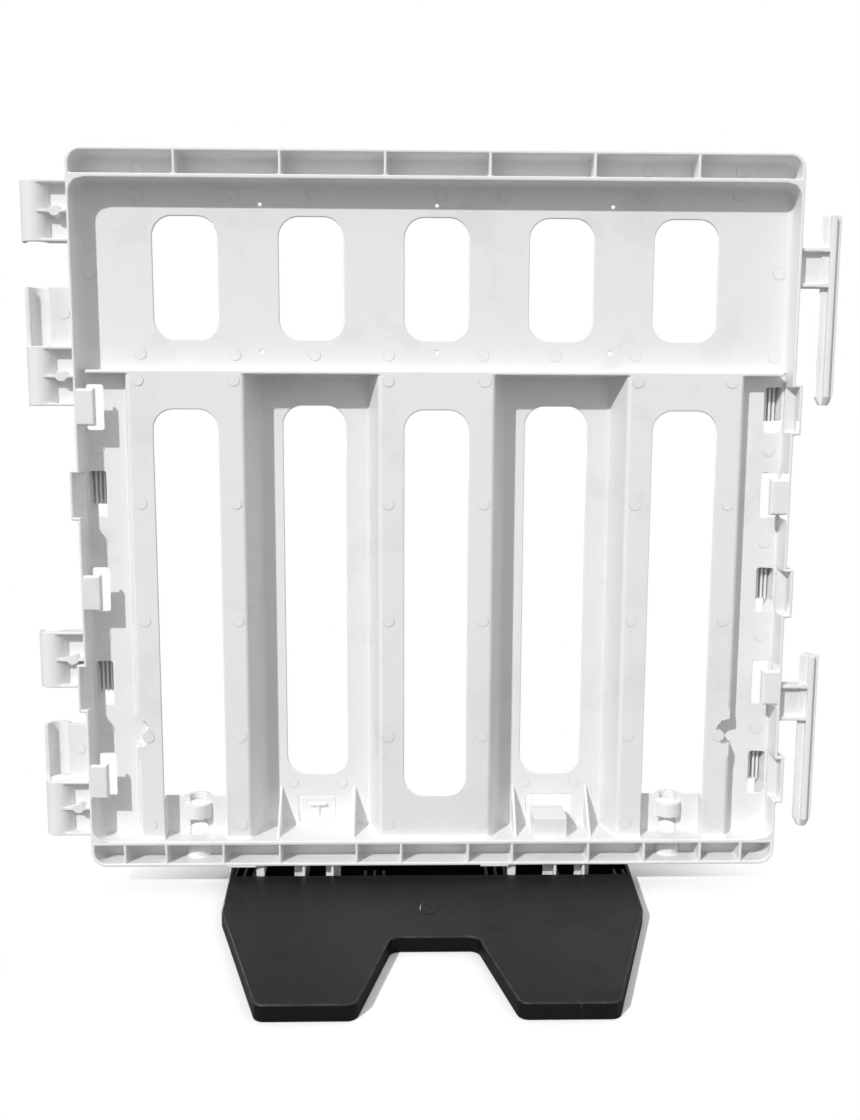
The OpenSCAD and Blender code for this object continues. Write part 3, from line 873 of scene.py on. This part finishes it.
    def folds(self, mesh: Mesh) -> list[Vector]:
        """Finds where faces fold over themselves.

        Args:
            mesh: Rounded mesh.

        Returns:
            Places where the outline of a folded face crosses itself or turns back.
        """
        mesh.calc_loop_triangles()
        folded = set()
        for triangle in mesh.loop_triangles:
            turn = triangle.normal.dot(mesh.polygons[triangle.polygon_index].normal)
            if triangle.area > self.fold_area and turn < self.fold_turn:
                folded.add(triangle.polygon_index)
        found = []
        for index in folded:
            polygon = mesh.polygons[index]
            points = [mesh.vertices[vertex].co for vertex in polygon.vertices]
            count = len(points)
            level = max(range(3), key=lambda i: abs(polygon.normal[i]))
            flat = [Vector([point[i] for i in range(3) if i != level]) for point in points]
            places = []
            for i in range(count):
                before, after = flat[i] - flat[i - 1], flat[(i + 1) % count] - flat[i]
                both = before.length and after.length
                if both and before.normalized().dot(after.normalized()) < self.fold_back:
                    places.append(points[i].copy())
                for j in range(i + 2, count - (i == 0)):
                    ends = (flat[i], flat[i + 1], flat[j], flat[(j + 1) % count])
                    crossing = geometry.intersect_line_line_2d(*ends)
                    if crossing is not None:
                        span = flat[i + 1] - flat[i]
                        share = (crossing - flat[i]).dot(span) / max(span.length_squared, self.tiny)
                        places.append(points[i].lerp(points[i + 1], share))
            found += places or [points[i].copy() for i in range(count)]
        return found

    def rounded_copy(self, node: str) -> Object:
        """Copies a solid and rounds its free edges.

        Args:
            node: Node to copy.

        Returns:
            The rounded piece.
        """
        bm = bmesh.new()
        bm.from_mesh(frame["nodes"][node].data)
        FlatFaces(bm).join()
        for face in bm.faces:
            face.smooth = True
        radius = self.mark_edges(node, bm)
        mesh = bpy.data.meshes.new(f"{node}_moulded")
        bm.to_mesh(mesh)
        bm.free()
        piece = new_piece(f"{node}_moulded", mesh)
        plain = self.finish.material(self.effects)
        for _ in range(ROUNDED + 1):
            mesh.materials.append(plain)
        if radius > 0:
            bevel = piece.modifiers.new("Rounded edges", "BEVEL")
            bevel.limit_method = "WEIGHT"
            bevel.width = radius
            bevel.segments = self.segments
            bevel.use_clamp_overlap = False
            bevel.material = ROUNDED
            mesh = settle(piece)
        self.mark_creases(mesh, radius)
        shading = piece.modifiers.new("Even shading", "WEIGHTED_NORMAL")
        shading.keep_sharp = True
        mesh = settle(piece)
        values = [float(polygon.material_index == ROUNDED) for polygon in mesh.polygons]
        mesh.attributes.new(EDGE_ATTRIBUTE, "FLOAT", "FACE").data.foreach_set("value", values)
        for polygon in mesh.polygons:
            polygon.material_index = 0
        return piece


# Details that no solid stands for


@dataclass
class Cove:
    """Hollow fillet along a path where two walls meet.

    A station is a point on the corner line and the two directions along the walls.
    """

    stations: Sequence[Station]
    radius: float
    steps: int = 6
    sink: float = 0.0004

    @classmethod
    def straight(cls, ends: Iterable[Triple], first: Vector, second: Vector, radius: float) -> "Cove":
        """Lays a straight cove between two points, with the directions along its two walls."""
        return cls([(Vector(end), first, second) for end in ends], radius)

    def section(self, station: Station) -> list[tuple[Vector, Vector]]:
        """Draws the hollow across one station.

        Args:
            station: Corner point and wall directions.

        Returns:
            Points of the hollow from one wall to the other, each with its normal.
        """
        corner, first, second = station
        half = first.angle(second) / 2
        centre = corner + (first + second).normalized() * (self.radius / math.sin(half))
        start = corner + first * (self.radius / math.tan(half)) - centre
        end = corner + second * (self.radius / math.tan(half)) - centre
        spread = start.angle(end)
        found = []
        for i in range(self.steps + 1):
            t = i / self.steps
            arm = (start * math.sin((1 - t) * spread) + end * math.sin(t * spread)) / math.sin(spread)
            found.append((centre + arm, -arm.normalized()))
        return found

    def add_to(self, bm: BMesh, normals: dict[BMVert, Vector]) -> None:
        """Adds the closed strip to a mesh.

        Args:
            bm: Mesh that takes the strip.
            normals: Gets the normal of each vertex of the hollow.
        """
        rings = []
        for station in self.stations:
            corner, first, second = station
            ring = []
            for point, normal in self.section(station):
                vertex = bm.verts.new(point)
                normals[vertex] = normal
                ring.append(vertex)
            ring.append(bm.verts.new(corner - (first + second).normalized() * self.sink))
            rings.append(ring)
        faces = []
        size = len(rings[0])
        for before, after in zip(rings, rings[1:]):
            for i in range(size):
                j = (i + 1) % size
                face = bm.faces.new((before[i], before[j], after[j], after[i]))
                face.smooth = i < self.steps
                faces.append(face)
        faces += [bm.faces.new(rings[0]), bm.faces.new(rings[-1])]
        bmesh.ops.recalc_face_normals(bm, faces=faces)


def cove_piece(name: str, coves: Sequence[Cove]) -> Object:
    """Builds coves into one piece whose shading runs on into the walls.

    Args:
        name: Name of the piece.
        coves: Coves of one body.

    Returns:
        The new piece.
    """
    bm = bmesh.new()
    normals: dict[BMVert, Vector] = {}
    for cove in coves:
        cove.add_to(bm, normals)
    bm.verts.index_update()
    by_index = {vertex.index: normal for vertex, normal in normals.items()}
    mesh = bpy.data.meshes.new(name)
    bm.to_mesh(mesh)
    bm.free()
    corner_normals = [UP] * len(mesh.loops)
    for polygon in mesh.polygons:
        for loop in polygon.loop_indices:
            vertex = mesh.loops[loop].vertex_index
            corner_normals[loop] = by_index[vertex] if polygon.use_smooth else polygon.normal.copy()
    mesh.normals_split_custom_set(corner_normals)
    return new_piece(name, mesh)


@dataclass
class MouldMarks:
    """Low round marks of ejector pins or a gate on a face, placed by Geometry Nodes, with painted shade on
    their sides.
    """

    name: str
    places: Sequence[Vector]
    facing: Facing
    diameter: float = 0.018
    lip_width: float = 0.0008
    lip_height: float = 0.0008
    sink: float = 0.0004
    stretch: float = 1.0
    sides: int = 40

    def build_tree(self) -> NodeTree:
        """Builds the tree that sets one flat cone on each point.

        Returns:
            The tree, with the mark's sizes as named inputs.
        """
        tree = bpy.data.node_groups.new(self.name, "GeometryNodeTree")
        face = tree.interface
        face.new_socket("Geometry", in_out="INPUT", socket_type="NodeSocketGeometry")
        for label in ("Diameter", "Lip width", "Lip height", "Sink", "Stretch"):
            face.new_socket(label, in_out="INPUT", socket_type="NodeSocketFloat")
        face.new_socket("Sides", in_out="INPUT", socket_type="NodeSocketInt")
        face.new_socket("Turn", in_out="INPUT", socket_type="NodeSocketVector")
        face.new_socket("Finish", in_out="INPUT", socket_type="NodeSocketMaterial")
        face.new_socket("Geometry", in_out="OUTPUT", socket_type="NodeSocketGeometry")
        source = tree.nodes.new("NodeGroupInput")
        sink = tree.nodes.new("NodeGroupOutput")
        outer = math_node(tree, "MULTIPLY", source.outputs["Diameter"], 0.5)
        inner = math_node(tree, "SUBTRACT", outer, source.outputs["Lip width"])
        height = math_node(tree, "ADD", source.outputs["Lip height"], source.outputs["Sink"])
        cone = add_node(tree, "GeometryNodeMeshCone", {},
                        {"Vertices": source.outputs["Sides"], "Radius Top": inner, "Radius Bottom": outer,
                         "Depth": height})
        # Marks the cone's sloped side, which the finish darkens as painted shade
        shaded_rim = add_node(tree, "GeometryNodeStoreNamedAttribute", {"data_type": "FLOAT", "domain": "FACE"},
                         {"Geometry": cone.outputs["Mesh"], "Name": RIM_SHADE_ATTRIBUTE,
                          "Value": cone.outputs["Side"]})
        drop = add_node(tree, "ShaderNodeCombineXYZ", {},
                        {"Z": math_node(tree, "MULTIPLY", source.outputs["Sink"], -1.0)})
        oval = add_node(tree, "ShaderNodeCombineXYZ", {},
                        {"X": 1.0, "Y": source.outputs["Stretch"], "Z": 1.0})
        sunk = add_node(tree, "GeometryNodeTransform", {},
                        {"Geometry": shaded_rim.outputs[0], "Translation": drop.outputs[0],
                         "Scale": oval.outputs[0]})
        turn = add_node(tree, "FunctionNodeEulerToRotation", {}, {0: source.outputs["Turn"]})
        copies = add_node(tree, "GeometryNodeInstanceOnPoints", {},
                          {"Points": source.outputs["Geometry"], "Instance": sunk.outputs[0],
                           "Rotation": turn.outputs[0]})
        real = add_node(tree, "GeometryNodeRealizeInstances", {}, {0: copies.outputs[0]})
        painted = add_node(tree, "GeometryNodeSetMaterial", {},
                           {"Geometry": real.outputs[0], "Material": source.outputs["Finish"]})
        tree.links.new(painted.outputs[0], sink.inputs["Geometry"])
        return tree

    def build(self, material: Material) -> Object:
        """Makes the marks into one plain mesh.

        Args:
            material: Finish of the marks.

        Returns:
            The new piece.
        """
        mesh = bpy.data.meshes.new(self.name)
        mesh.from_pydata([tuple(place) for place in self.places], [], [])
        piece = new_piece(self.name, mesh)
        modifier = piece.modifiers.new("Marks", "NODES")
        tree = self.build_tree()
        modifier.node_group = tree
        values = {
            "Diameter": self.diameter,
            "Lip width": self.lip_width,
            "Lip height": self.lip_height,
            "Sink": self.sink,
            "Stretch": self.stretch,
            "Sides": self.sides,
            "Turn": self.facing.value,
            "Finish": material,
        }
        for socket in tree.interface.items_tree:
            if socket.in_out == "INPUT" and socket.name in values:
                modifier[socket.identifier] = values[socket.name]
        settle(piece)
        return piece


# Sub-assemblies


@dataclass
class PanelFrame(SubAssembly):
    """Rails, stiles and sign face, with the coves of the sign pan and its ejector marks."""

    nodes: tuple[str, ...] = ("top_rail", "sign_face", "mid_rail", "bottom_rail", "left_stile",
                              "right_stile")
    pan_cove: float = 0.008
    ledge_cove: float = 0.002
    strip_cove: float = 0.004
    pan_corner: float = 0.020
    corner_steps: int = 8
    ledge_end: float = 0.009
    strip_start: float = 0.020
    clip_half: float = 0.036
    least_cove: float = 0.01
    upper_marks: Places = (
        (-0.414, 0.993), (-0.282, 0.994), (-0.172, 0.995), (0.005, 0.995), (0.093, 0.996),
        (0.287, 0.997), (0.421, 0.998))
    lower_marks: Places = (
        (-0.415, 0.7775), (-0.2825, 0.7765), (-0.171, 0.777), (-0.067, 0.777), (0.066, 0.777),
        (0.168, 0.777), (0.2815, 0.778), (0.479, 0.777), (-0.4805, 0.8875), (0.4815, 0.892))
    rail_marks: Places = ((-0.411, 1.0275), (0.293, 1.0295), (0.423, 1.0305))
    strip_mark_x: float = 0.478
    strip_marks: tuple[float, ...] = (0.234, 0.374, 0.512, 0.645)

    def details(self) -> list[Object]:
        """Makes the frame's coves and ejector marks.

        Returns:
            One piece of coves and one of marks.
        """
        low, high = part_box("sign_face")
        floor = low.y
        marks = [Vector((x, floor, z)) for x, z in (*self.upper_marks, *self.lower_marks, *self.rail_marks)]
        marks += [Vector((side * self.strip_mark_x, floor, z))
                  for side in (-1, 1) for z in self.strip_marks]
        material = self.finish.material(self.effects)
        return [cove_piece("frame_coves", self.coves(low, high)),
                MouldMarks("frame_ejector_marks", marks, Facing.FRONT).build(material)]

    def coves(self, low: Vector, high: Vector) -> list[Cove]:
        """Lays coves round the sign pan and along the two strips.

        Args:
            low: Lowest corner of the sign face.
            high: Highest corner of the sign face.

        Returns:
            The coves.
        """
        path = [(low.copy(), RIGHT, FRONT)]
        for sign in (-1, 1):
            side = high.x if sign > 0 else low.x
            centre = Vector((side - sign * self.pan_corner, low.y, high.z - self.pan_corner))
            turns = [math.pi / 2 * i / self.corner_steps for i in range(self.corner_steps + 1)]
            for turn in (turns if sign < 0 else reversed(turns)):
                outwards = Vector((sign * math.cos(turn), 0, math.sin(turn)))
                path.append((centre + outwards * self.pan_corner, -outwards, FRONT))
        path.append((Vector((high.x, low.y, low.z)), -RIGHT, FRONT))
        found = [Cove(path, self.pan_cove)]
        ends = ((low.x + self.ledge_end, low.y, low.z), (high.x - self.ledge_end, low.y, low.z))
        found.append(Cove.straight(ends, UP, FRONT, self.ledge_cove))
        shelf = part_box("bottom_rail")[1].z
        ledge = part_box("mid_rail")[0].z
        starts = [shelf + self.strip_start, *(row + self.clip_half for row in CLIP_ROWS)]
        stops = [*(row - self.clip_half for row in CLIP_ROWS), ledge]
        for sign in (-1, 1):
            side = high.x if sign > 0 else low.x
            for start, stop in zip(starts, stops):
                if stop - start > self.least_cove:
                    ends = ((side, low.y, start), (side, low.y, stop))
                    found.append(Cove.straight(ends, RIGHT * -sign, FRONT, self.strip_cove))
        return found


@dataclass
class Corrugation(SubAssembly):
    """Pilasters, recess floors and gussets, with their coves and ejector marks."""

    nodes: tuple[str, ...] = ("left_pilaster", "centre_pilaster", "right_pilaster", "left_recess_panel",
                              "right_recess_panel", "gussets")
    face_radius: float = 0.005
    floor_cove: float = 0.006
    foot_cove: float = 0.005
    slope_cove: float = 0.004
    edge_steps: int = 4
    face_half: float = 0.081
    slot_half: float = 0.045
    draft: float = 0.016
    inner_mark: float = 0.0675
    outer_mark: float = 0.065
    mark_rows: tuple[float, ...] = (0.7405, 0.569, 0.401, 0.230, 0.0975)
    recess_mark_size: float = 0.016
    recess_marks: Places = ((-0.212, 0.142), (-0.138, 0.142), (0.138, 0.142), (0.212, 0.142))
    bite: Range = (0.212, 0.258)
    upright_share: float = 0.9
    side_from: float = 0.0629

    def radius_at(self, node: str, edge: BMEdge) -> float:
        """Rounds the pilasters' long face edges more than the rest."""
        if node.endswith("pilaster") and edge.is_convex:
            low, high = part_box(node)
            start, end = (vertex.co for vertex in edge.verts)
            upright = abs(start.z - end.z) > self.upright_share * (start - end).length
            outside = abs(start.x - (low.x + high.x) / 2) > self.side_from
            if upright and outside and all(abs(place.y - low.y) < ON_FACE for place in (start, end)):
                return self.face_radius
        return super().radius_at(node, edge)

    def details(self) -> list[Object]:
        """Makes the coves and ejector marks between pilasters and recesses.

        Returns:
            One piece of coves, and one of marks for each depth.
        """
        material = self.finish.material(self.effects)
        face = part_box("centre_pilaster")[0].y
        pitch = self.pitch()
        marks = []
        for i in (-2, 0, 2):
            for side in (-1, 1):
                out = self.outer_mark if side * i > 0 else self.inner_mark
                marks += [Vector((i * pitch + side * out, face, z)) for z in self.mark_rows]
        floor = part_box("left_recess_panel")[0].y
        deep = [Vector((x, floor, z)) for x, z in self.recess_marks]
        small = MouldMarks("recess_ejector_marks", deep, Facing.FRONT, diameter=self.recess_mark_size)
        return [cove_piece("corrugation_coves", self.coves()),
                MouldMarks("pilaster_ejector_marks", marks, Facing.FRONT).build(material),
                small.build(material)]

    @staticmethod
    def pitch() -> float:
        """Gives the distance between neighbouring slots."""
        low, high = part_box("right_recess_panel")
        return (low.x + high.x) / 2

    def coves(self) -> list[Cove]:
        """Lays coves where pilaster sides meet floors and where both meet the rails.

        Returns:
            The coves.
        """
        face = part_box("centre_pilaster")[0].y
        hook_low, hook_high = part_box("latch_hook")
        found = []
        for node in ("left_recess_panel", "right_recess_panel"):
            low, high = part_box(node)
            slope = Vector((self.draft, face - low.y, 0)).normalized()
            for x, inwards in ((low.x, RIGHT), (high.x, -RIGHT)):
                wall = Vector((-inwards.x * slope.x, slope.y, 0))
                ends = ((x, low.y, low.z), (x, low.y, high.z))
                found.append(Cove.straight(ends, inwards, wall, self.floor_cove))
            ends = ((low.x, low.y, high.z), (high.x, low.y, high.z))
            found.append(Cove.straight(ends, -UP, FRONT, self.slope_cove))
            spans = [(low.x, high.x)]
            if node == "right_recess_panel":
                spans = [(low.x, hook_low.x), (hook_high.x, high.x)]
            for span in spans:
                ends = [(x, low.y, low.z) for x in span]
                found.append(Cove.straight(ends, UP, FRONT, self.slope_cove))
        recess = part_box("left_recess_panel")[0].y
        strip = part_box("sign_face")[0].y
        for i, gap in ((-2, self.slot_half), (0, 0.0), (2, self.slot_half)):
            halves = [self.foot_path(i, side, gap, strip if side * i > 0 else recess) for side in (-1, 1)]
            if gap == 0:
                halves = [list(reversed(halves[0])) + halves[1][1:]]
            found += [Cove(half, self.foot_cove) for half in halves]
        found += self.strip_coves(face, strip)
        return found

    def foot_path(self, place: int, side: int, gap: float, floor: float) -> list[Station]:
        """Follows one half of a pilaster's foot from its middle round its edge to the floor beside it.

        Args:
            place: Number of slot pitches from the panel's middle.
            side: 1 for the right half and -1 for the left half.
            gap: Distance from the pilaster's middle to where the path starts.
            floor: Y of the floor beside the pilaster.

        Returns:
            The stations of the cove.
        """
        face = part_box("centre_pilaster")[0].y
        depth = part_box("left_recess_panel")[0].y - face
        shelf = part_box("bottom_rail")[1].z
        turn = math.atan2(depth, self.draft)
        tangent = self.face_half - self.face_radius
        radius = self.face_radius / math.tan(turn / 2)
        points = [(Vector((gap, face)), 0.0)]
        for i in range(self.edge_steps + 1):
            angle = turn * i / self.edge_steps
            across = tangent + radius * math.sin(angle)
            points.append((Vector((across, face + radius * (1 - math.cos(angle)))), angle))
        points.append((Vector((self.face_half + self.draft * (floor - face) / depth, floor)), turn))
        middle = place * self.pitch()
        return [(Vector((middle + side * point.x, point.y, shelf)), UP,
                 Vector((side * math.sin(angle), -math.cos(angle), 0))) for point, angle in points]

    def strip_coves(self, face: float, floor: float) -> list[Cove]:
        """Lays coves where the outer pilasters meet the edge strips.

        Args:
            face: Y of the pilasters' faces.
            floor: Y of the strips.

        Returns:
            The coves.
        """
        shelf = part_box("bottom_rail")[1].z
        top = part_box("mid_rail")[0].z
        slope = Vector((self.draft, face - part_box("left_recess_panel")[0].y, 0)).normalized()
        found = []
        for sign in (-1, 1):
            start = sign * (2 * self.pitch() + self.face_half)
            foot = start - sign * slope.x / slope.y * (floor - face)
            wall = Vector((-sign * slope.x, slope.y, 0))
            for a, b in ((shelf, self.bite[0]), (self.bite[1], top)):
                ends = ((foot, floor, a), (foot, floor, b))
                found.append(Cove.straight(ends, RIGHT * sign, wall, self.slope_cove))
            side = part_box("sign_face")[1 if sign > 0 else 0].x
            ends = ((foot, floor, shelf), (side, floor, shelf))
            found.append(Cove.straight(ends, UP, FRONT, self.slope_cove))
        return found


@dataclass
class EdgeFittings(SubAssembly):
    """Tabs, catch boxes, pin knuckles and link pins on the panel's two edges."""

    nodes: tuple[str, ...] = ("left_edge_tabs", "right_edge_tabs", "left_catch_boxes", "right_catch_boxes",
                              "upper_knuckles", "lower_knuckles", "upper_link_pin", "lower_link_pin")
    edge_radius: float = 0.0012
    inner_radius: float = 0.0014
    tab_radius: float = 0.0038
    box_radius: float = 0.0006
    trough_plate: float = -0.002
    trough_mark_size: float = 0.017
    trough_marks: Places = ((-0.5135, 0.8305), (-0.5155, 0.2115))
    fin_height: float = 0.064
    fin_lean: float = 0.003
    fin_thickness: float = 0.003
    fin_drop: float = 0.030
    fin_tail: float = 0.012
    fin_inset: float = 0.00025

    def radius_at(self, node: str, edge: BMEdge) -> float:
        """Keeps the fine ribs of the catch boxes almost sharp and rounds the tabs' front edges most."""
        if node.endswith("catch_boxes"):
            return self.box_radius
        if node.endswith("edge_tabs") and edge.is_convex:
            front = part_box(node)[0].y
            if all(abs(vertex.co.y - front) < ON_FACE for vertex in edge.verts):
                return self.tab_radius
        return super().radius_at(node, edge)

    def details(self) -> list[Object]:
        """Makes the ejector marks on the plates of the knuckles' troughs, and the catch boxes' fins.

        Returns:
            One piece of marks and one of fins.
        """
        places = [Vector((x, self.trough_plate, z)) for x, z in self.trough_marks]
        marks = MouldMarks("knuckle_ejector_marks", places, Facing.FRONT, diameter=self.trough_mark_size)
        return [marks.build(self.finish.material(self.effects)), self.fins()]

    def fins(self) -> Object:
        """Makes the fins on the outer walls of the catch boxes, which guide a neighbour's tab in.

        Returns:
            One piece with a fin for each catch box.
        """
        bm = bmesh.new()
        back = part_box("left_recess_panel")[1].y
        for sign, rows in ((-1, CLIP_ROWS[1::2]), (1, CLIP_ROWS[0::2])):
            low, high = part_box("right_catch_boxes" if sign > 0 else "left_catch_boxes")
            outer = high.x if sign > 0 else low.x
            for row in rows:
                top, bottom = row + self.fin_height / 2, row - self.fin_height / 2
                ends = ((low.y, 0.0, top, bottom),
                        (back, self.fin_lean, top - self.fin_drop, bottom - self.fin_tail))
                corners = []
                for y, lean, upper, lower in ends:
                    depths = (self.fin_thickness + lean, self.fin_inset + lean)
                    corners += [bm.verts.new((outer - sign * depth, y, z))
                                for depth in depths for z in (lower, upper)]
                faces = [bm.faces.new([corners[i] for i in loop]) for loop in BOX_FACES]
                bmesh.ops.recalc_face_normals(bm, faces=faces)
        mesh = bpy.data.meshes.new("catch_fins")
        bm.to_mesh(mesh)
        bm.free()
        return new_piece("catch_fins", mesh)


@dataclass
class Sockets(SubAssembly):
    """Peg sockets, hook block and the lugs under the bottom rail."""

    nodes: tuple[str, ...] = ("left_peg_socket", "right_peg_socket", "latch_hook", "left_base_lugs",
                              "right_base_lugs")
    edge_radius: float = 0.0011
    inner_radius: float = 0.0012


@dataclass
class LatchTongue(SubAssembly):
    """Flexing tongue in the left recess."""

    nodes: tuple[str, ...] = ("latch_tongue",)
    body: Body = Body.TONGUE
    edge_radius: float = 0.0009
    inner_radius: float = 0.0012


@dataclass
class Foot(SubAssembly):
    """Flat foot with its trough, ribs and gate mark."""

    nodes: tuple[str, ...] = ("foot_shell", "foot_ribs", "left_socket_ribs", "right_socket_ribs")
    body: Body = Body.FOOT
    slot: Slot = Slot.FOOT
    edge_radius: float = 0.0012
    inner_radius: float = 0.0
    top_radius: float = 0.0022
    trough: Range = (-0.020, 0.024)
    gate: tuple[float, float] = (-0.011, -0.1255)

    def radius_at(self, node: str, edge: BMEdge) -> float:
        """Rounds the outline of the top most and leaves the underside's ribs alone."""
        if node == "foot_ribs":
            return 0.0
        if node == "foot_shell" and edge.is_convex:
            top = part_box(node)[1].z
            ends = [vertex.co for vertex in edge.verts]
            inside = all(self.trough[0] < end.y < self.trough[1] for end in ends)
            if all(abs(end.z - top) < ON_FACE for end in ends) and not inside:
                return self.top_radius
        return super().radius_at(node, edge)

    def details(self) -> list[Object]:
        """Makes the gate mark on the foot's top: a round step with a small button in it.

        Returns:
            The ring and the button.
        """
        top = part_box("foot_shell")[1].z
        place = [Vector((*self.gate, top))]
        material = self.finish.material(self.effects)
        ring = MouldMarks("foot_gate_ring", place, Facing.UP, diameter=0.026, lip_width=0.0014,
                          lip_height=0.0007, stretch=1.7)
        button = MouldMarks("foot_gate_button", place, Facing.UP, diameter=0.009, lip_width=0.0016,
                            lip_height=0.0016)
        return [ring.build(material), button.build(material)]


# Studio


@dataclass
class Studio:
    """Pale floor, two lamps, soft surround and the camera of the photograph, whose turn is in degrees."""

    floor_half: float = 10.0
    floor_colour: Colour = (0.25, 0.25, 0.25)
    floor_seen: Colour = (1.05, 1.05, 1.05)
    shadow_middle: Triple = (0.0, -0.15, 0.0)
    fade: Range = (0.32, 0.56)
    surround: Range = (0.28, 0.68)
    fill_direction: Triple = (0.62, -0.25, 0.745)
    fill_spread: Range = (-0.4, 0.9)
    key_energy: float = 2.58
    lamp_angle: float = math.radians(1.5)
    key_direction: Triple = (0.70, 1.0, -0.91)
    back_energy: float = 1.4
    back_direction: Triple = (0.45, -1.0, 0.0)
    lens: float = 35.357
    sensor: float = 36.0
    view_depth: float = 100.0
    camera_place: Triple = (-0.04369, -1.55839, 0.70244)
    camera_turn: Triple = (82.162922, -0.235681, -1.271047)

    def build(self) -> None:
        """Sets up the whole studio."""
        bpy.context.scene.view_settings.view_transform = "Standard"
        self.build_floor()
        self.build_surround()
        self.build_lamp("key_light", self.key_energy, self.key_direction)
        self.build_lamp("back_light", self.back_energy, self.back_direction)
        self.build_camera()

    def build_floor(self) -> None:
        """Lays the floor, which keeps the shadow near the object and fades to white further out."""
        half = self.floor_half
        mesh = bpy.data.meshes.new("studio_floor")
        corners = [(-half, -half, 0), (half, -half, 0), (half, half, 0), (-half, half, 0)]
        mesh.from_pydata(corners, [], [(0, 1, 2, 3)])
        floor = new_piece("studio_floor", mesh)
        material = bpy.data.materials.new("studio_floor")
        material.use_nodes = True
        tree = material.node_tree
        tree.nodes.clear()
        ray = add_node(tree, "ShaderNodeLightPath").outputs["Is Camera Ray"]
        place = add_node(tree, "ShaderNodeTexCoord").outputs["Object"]
        distance = add_node(tree, "ShaderNodeVectorMath", {"operation": "DISTANCE"},
                            {0: place, 1: self.shadow_middle}).outputs["Value"]
        far = math_node(tree, "MULTIPLY", ramp(tree, distance, *self.fade), ray)
        colour = mix_colours(tree, ray, self.floor_colour, self.floor_seen)
        matte = add_node(tree, "ShaderNodeBsdfDiffuse", {}, {"Color": colour})
        white = add_node(tree, "ShaderNodeEmission", {}, {"Color": (1, 1, 1, 1), "Strength": 1.0})
        mixed = add_node(tree, "ShaderNodeMixShader", {},
                         {0: far, 1: matte.outputs[0], 2: white.outputs[0]})
        output = tree.nodes.new("ShaderNodeOutputMaterial")
        tree.links.new(mixed.outputs[0], output.inputs["Surface"])
        mesh.materials.append(material)

    def build_surround(self) -> None:
        """Makes the surround white to the camera, and a soft fill from above right for the object."""
        world = bpy.data.worlds.new("studio_surround")
        bpy.context.scene.world = world
        world.use_nodes = True
        tree = world.node_tree
        path = add_node(tree, "ShaderNodeLightPath")
        seen = math_node(tree, "MAXIMUM", path.outputs["Is Camera Ray"],
                         path.outputs["Is Transmission Ray"])
        direction = add_node(tree, "ShaderNodeTexCoord").outputs["Generated"]
        lean = add_node(tree, "ShaderNodeVectorMath", {"operation": "DOT_PRODUCT"},
                        {0: direction, 1: self.fill_direction}).outputs["Value"]
        light = ramp(tree, lean, *self.fill_spread, *self.surround)
        strength = add_node(tree, "ShaderNodeMapRange", {}, {"Value": seen, "To Min": light, "To Max": 1.0})
        background = tree.nodes["Background"]
        background.inputs["Color"].default_value = (1, 1, 1, 1)
        tree.links.new(strength.outputs["Result"], background.inputs["Strength"])

    def build_lamp(self, name: str, energy: float, direction: Triple) -> None:
        """Hangs a lamp: the key up at the left in front, the other level behind for the smooth side.

        Args:
            name: Name of the lamp.
            energy: Strength of the lamp.
            direction: Way that its light goes.
        """
        lamp = bpy.data.lights.new(name, "SUN")
        lamp.energy = energy
        lamp.angle = self.lamp_angle
        hung = bpy.data.objects.new(name, lamp)
        hung.rotation_euler = Vector(direction).to_track_quat("-Z", "Y").to_euler()
        bpy.context.scene.collection.objects.link(hung)

    def build_camera(self) -> None:
        """Sets the camera where the photograph was taken."""
        data = bpy.data.cameras.new("photo_camera")
        data.lens = self.lens
        data.sensor_width = self.sensor
        data.clip_end = self.view_depth
        camera = bpy.data.objects.new("photo_camera", data)
        camera.location = self.camera_place
        camera.rotation_euler = [math.radians(turn) for turn in self.camera_turn]
        bpy.context.scene.collection.objects.link(camera)
        bpy.context.scene.camera = camera


def main() -> None:
    """Builds the sub-assemblies and the studio in order."""
    logging.basicConfig(level=logging.INFO, format="%(name)s: %(message)s")
    effects = SurfaceEffects()
    members = frame["record"]["behaviour"]["bodies"]
    white = SolidTest(members[Body.PANEL.value])
    black = SolidTest(members[Body.FOOT.value])
    tongue = SolidTest(members[Body.TONGUE.value])
    assemblies = [
        PanelFrame(WHITE_PLASTIC, effects, white),
        Corrugation(WHITE_PLASTIC, effects, white),
        EdgeFittings(WHITE_PLASTIC, effects, white),
        Sockets(WHITE_PLASTIC, effects, white),
        LatchTongue(WHITE_PLASTIC, effects, tongue),
        Foot(BLACK_PLASTIC, effects, black),
    ]
    for assembly in assemblies:
        pieces = assembly.build()
        LOG.info("%s: %d pieces", type(assembly).__name__, len(pieces))
    Studio().build()


if __name__ == "__main__":
    main()
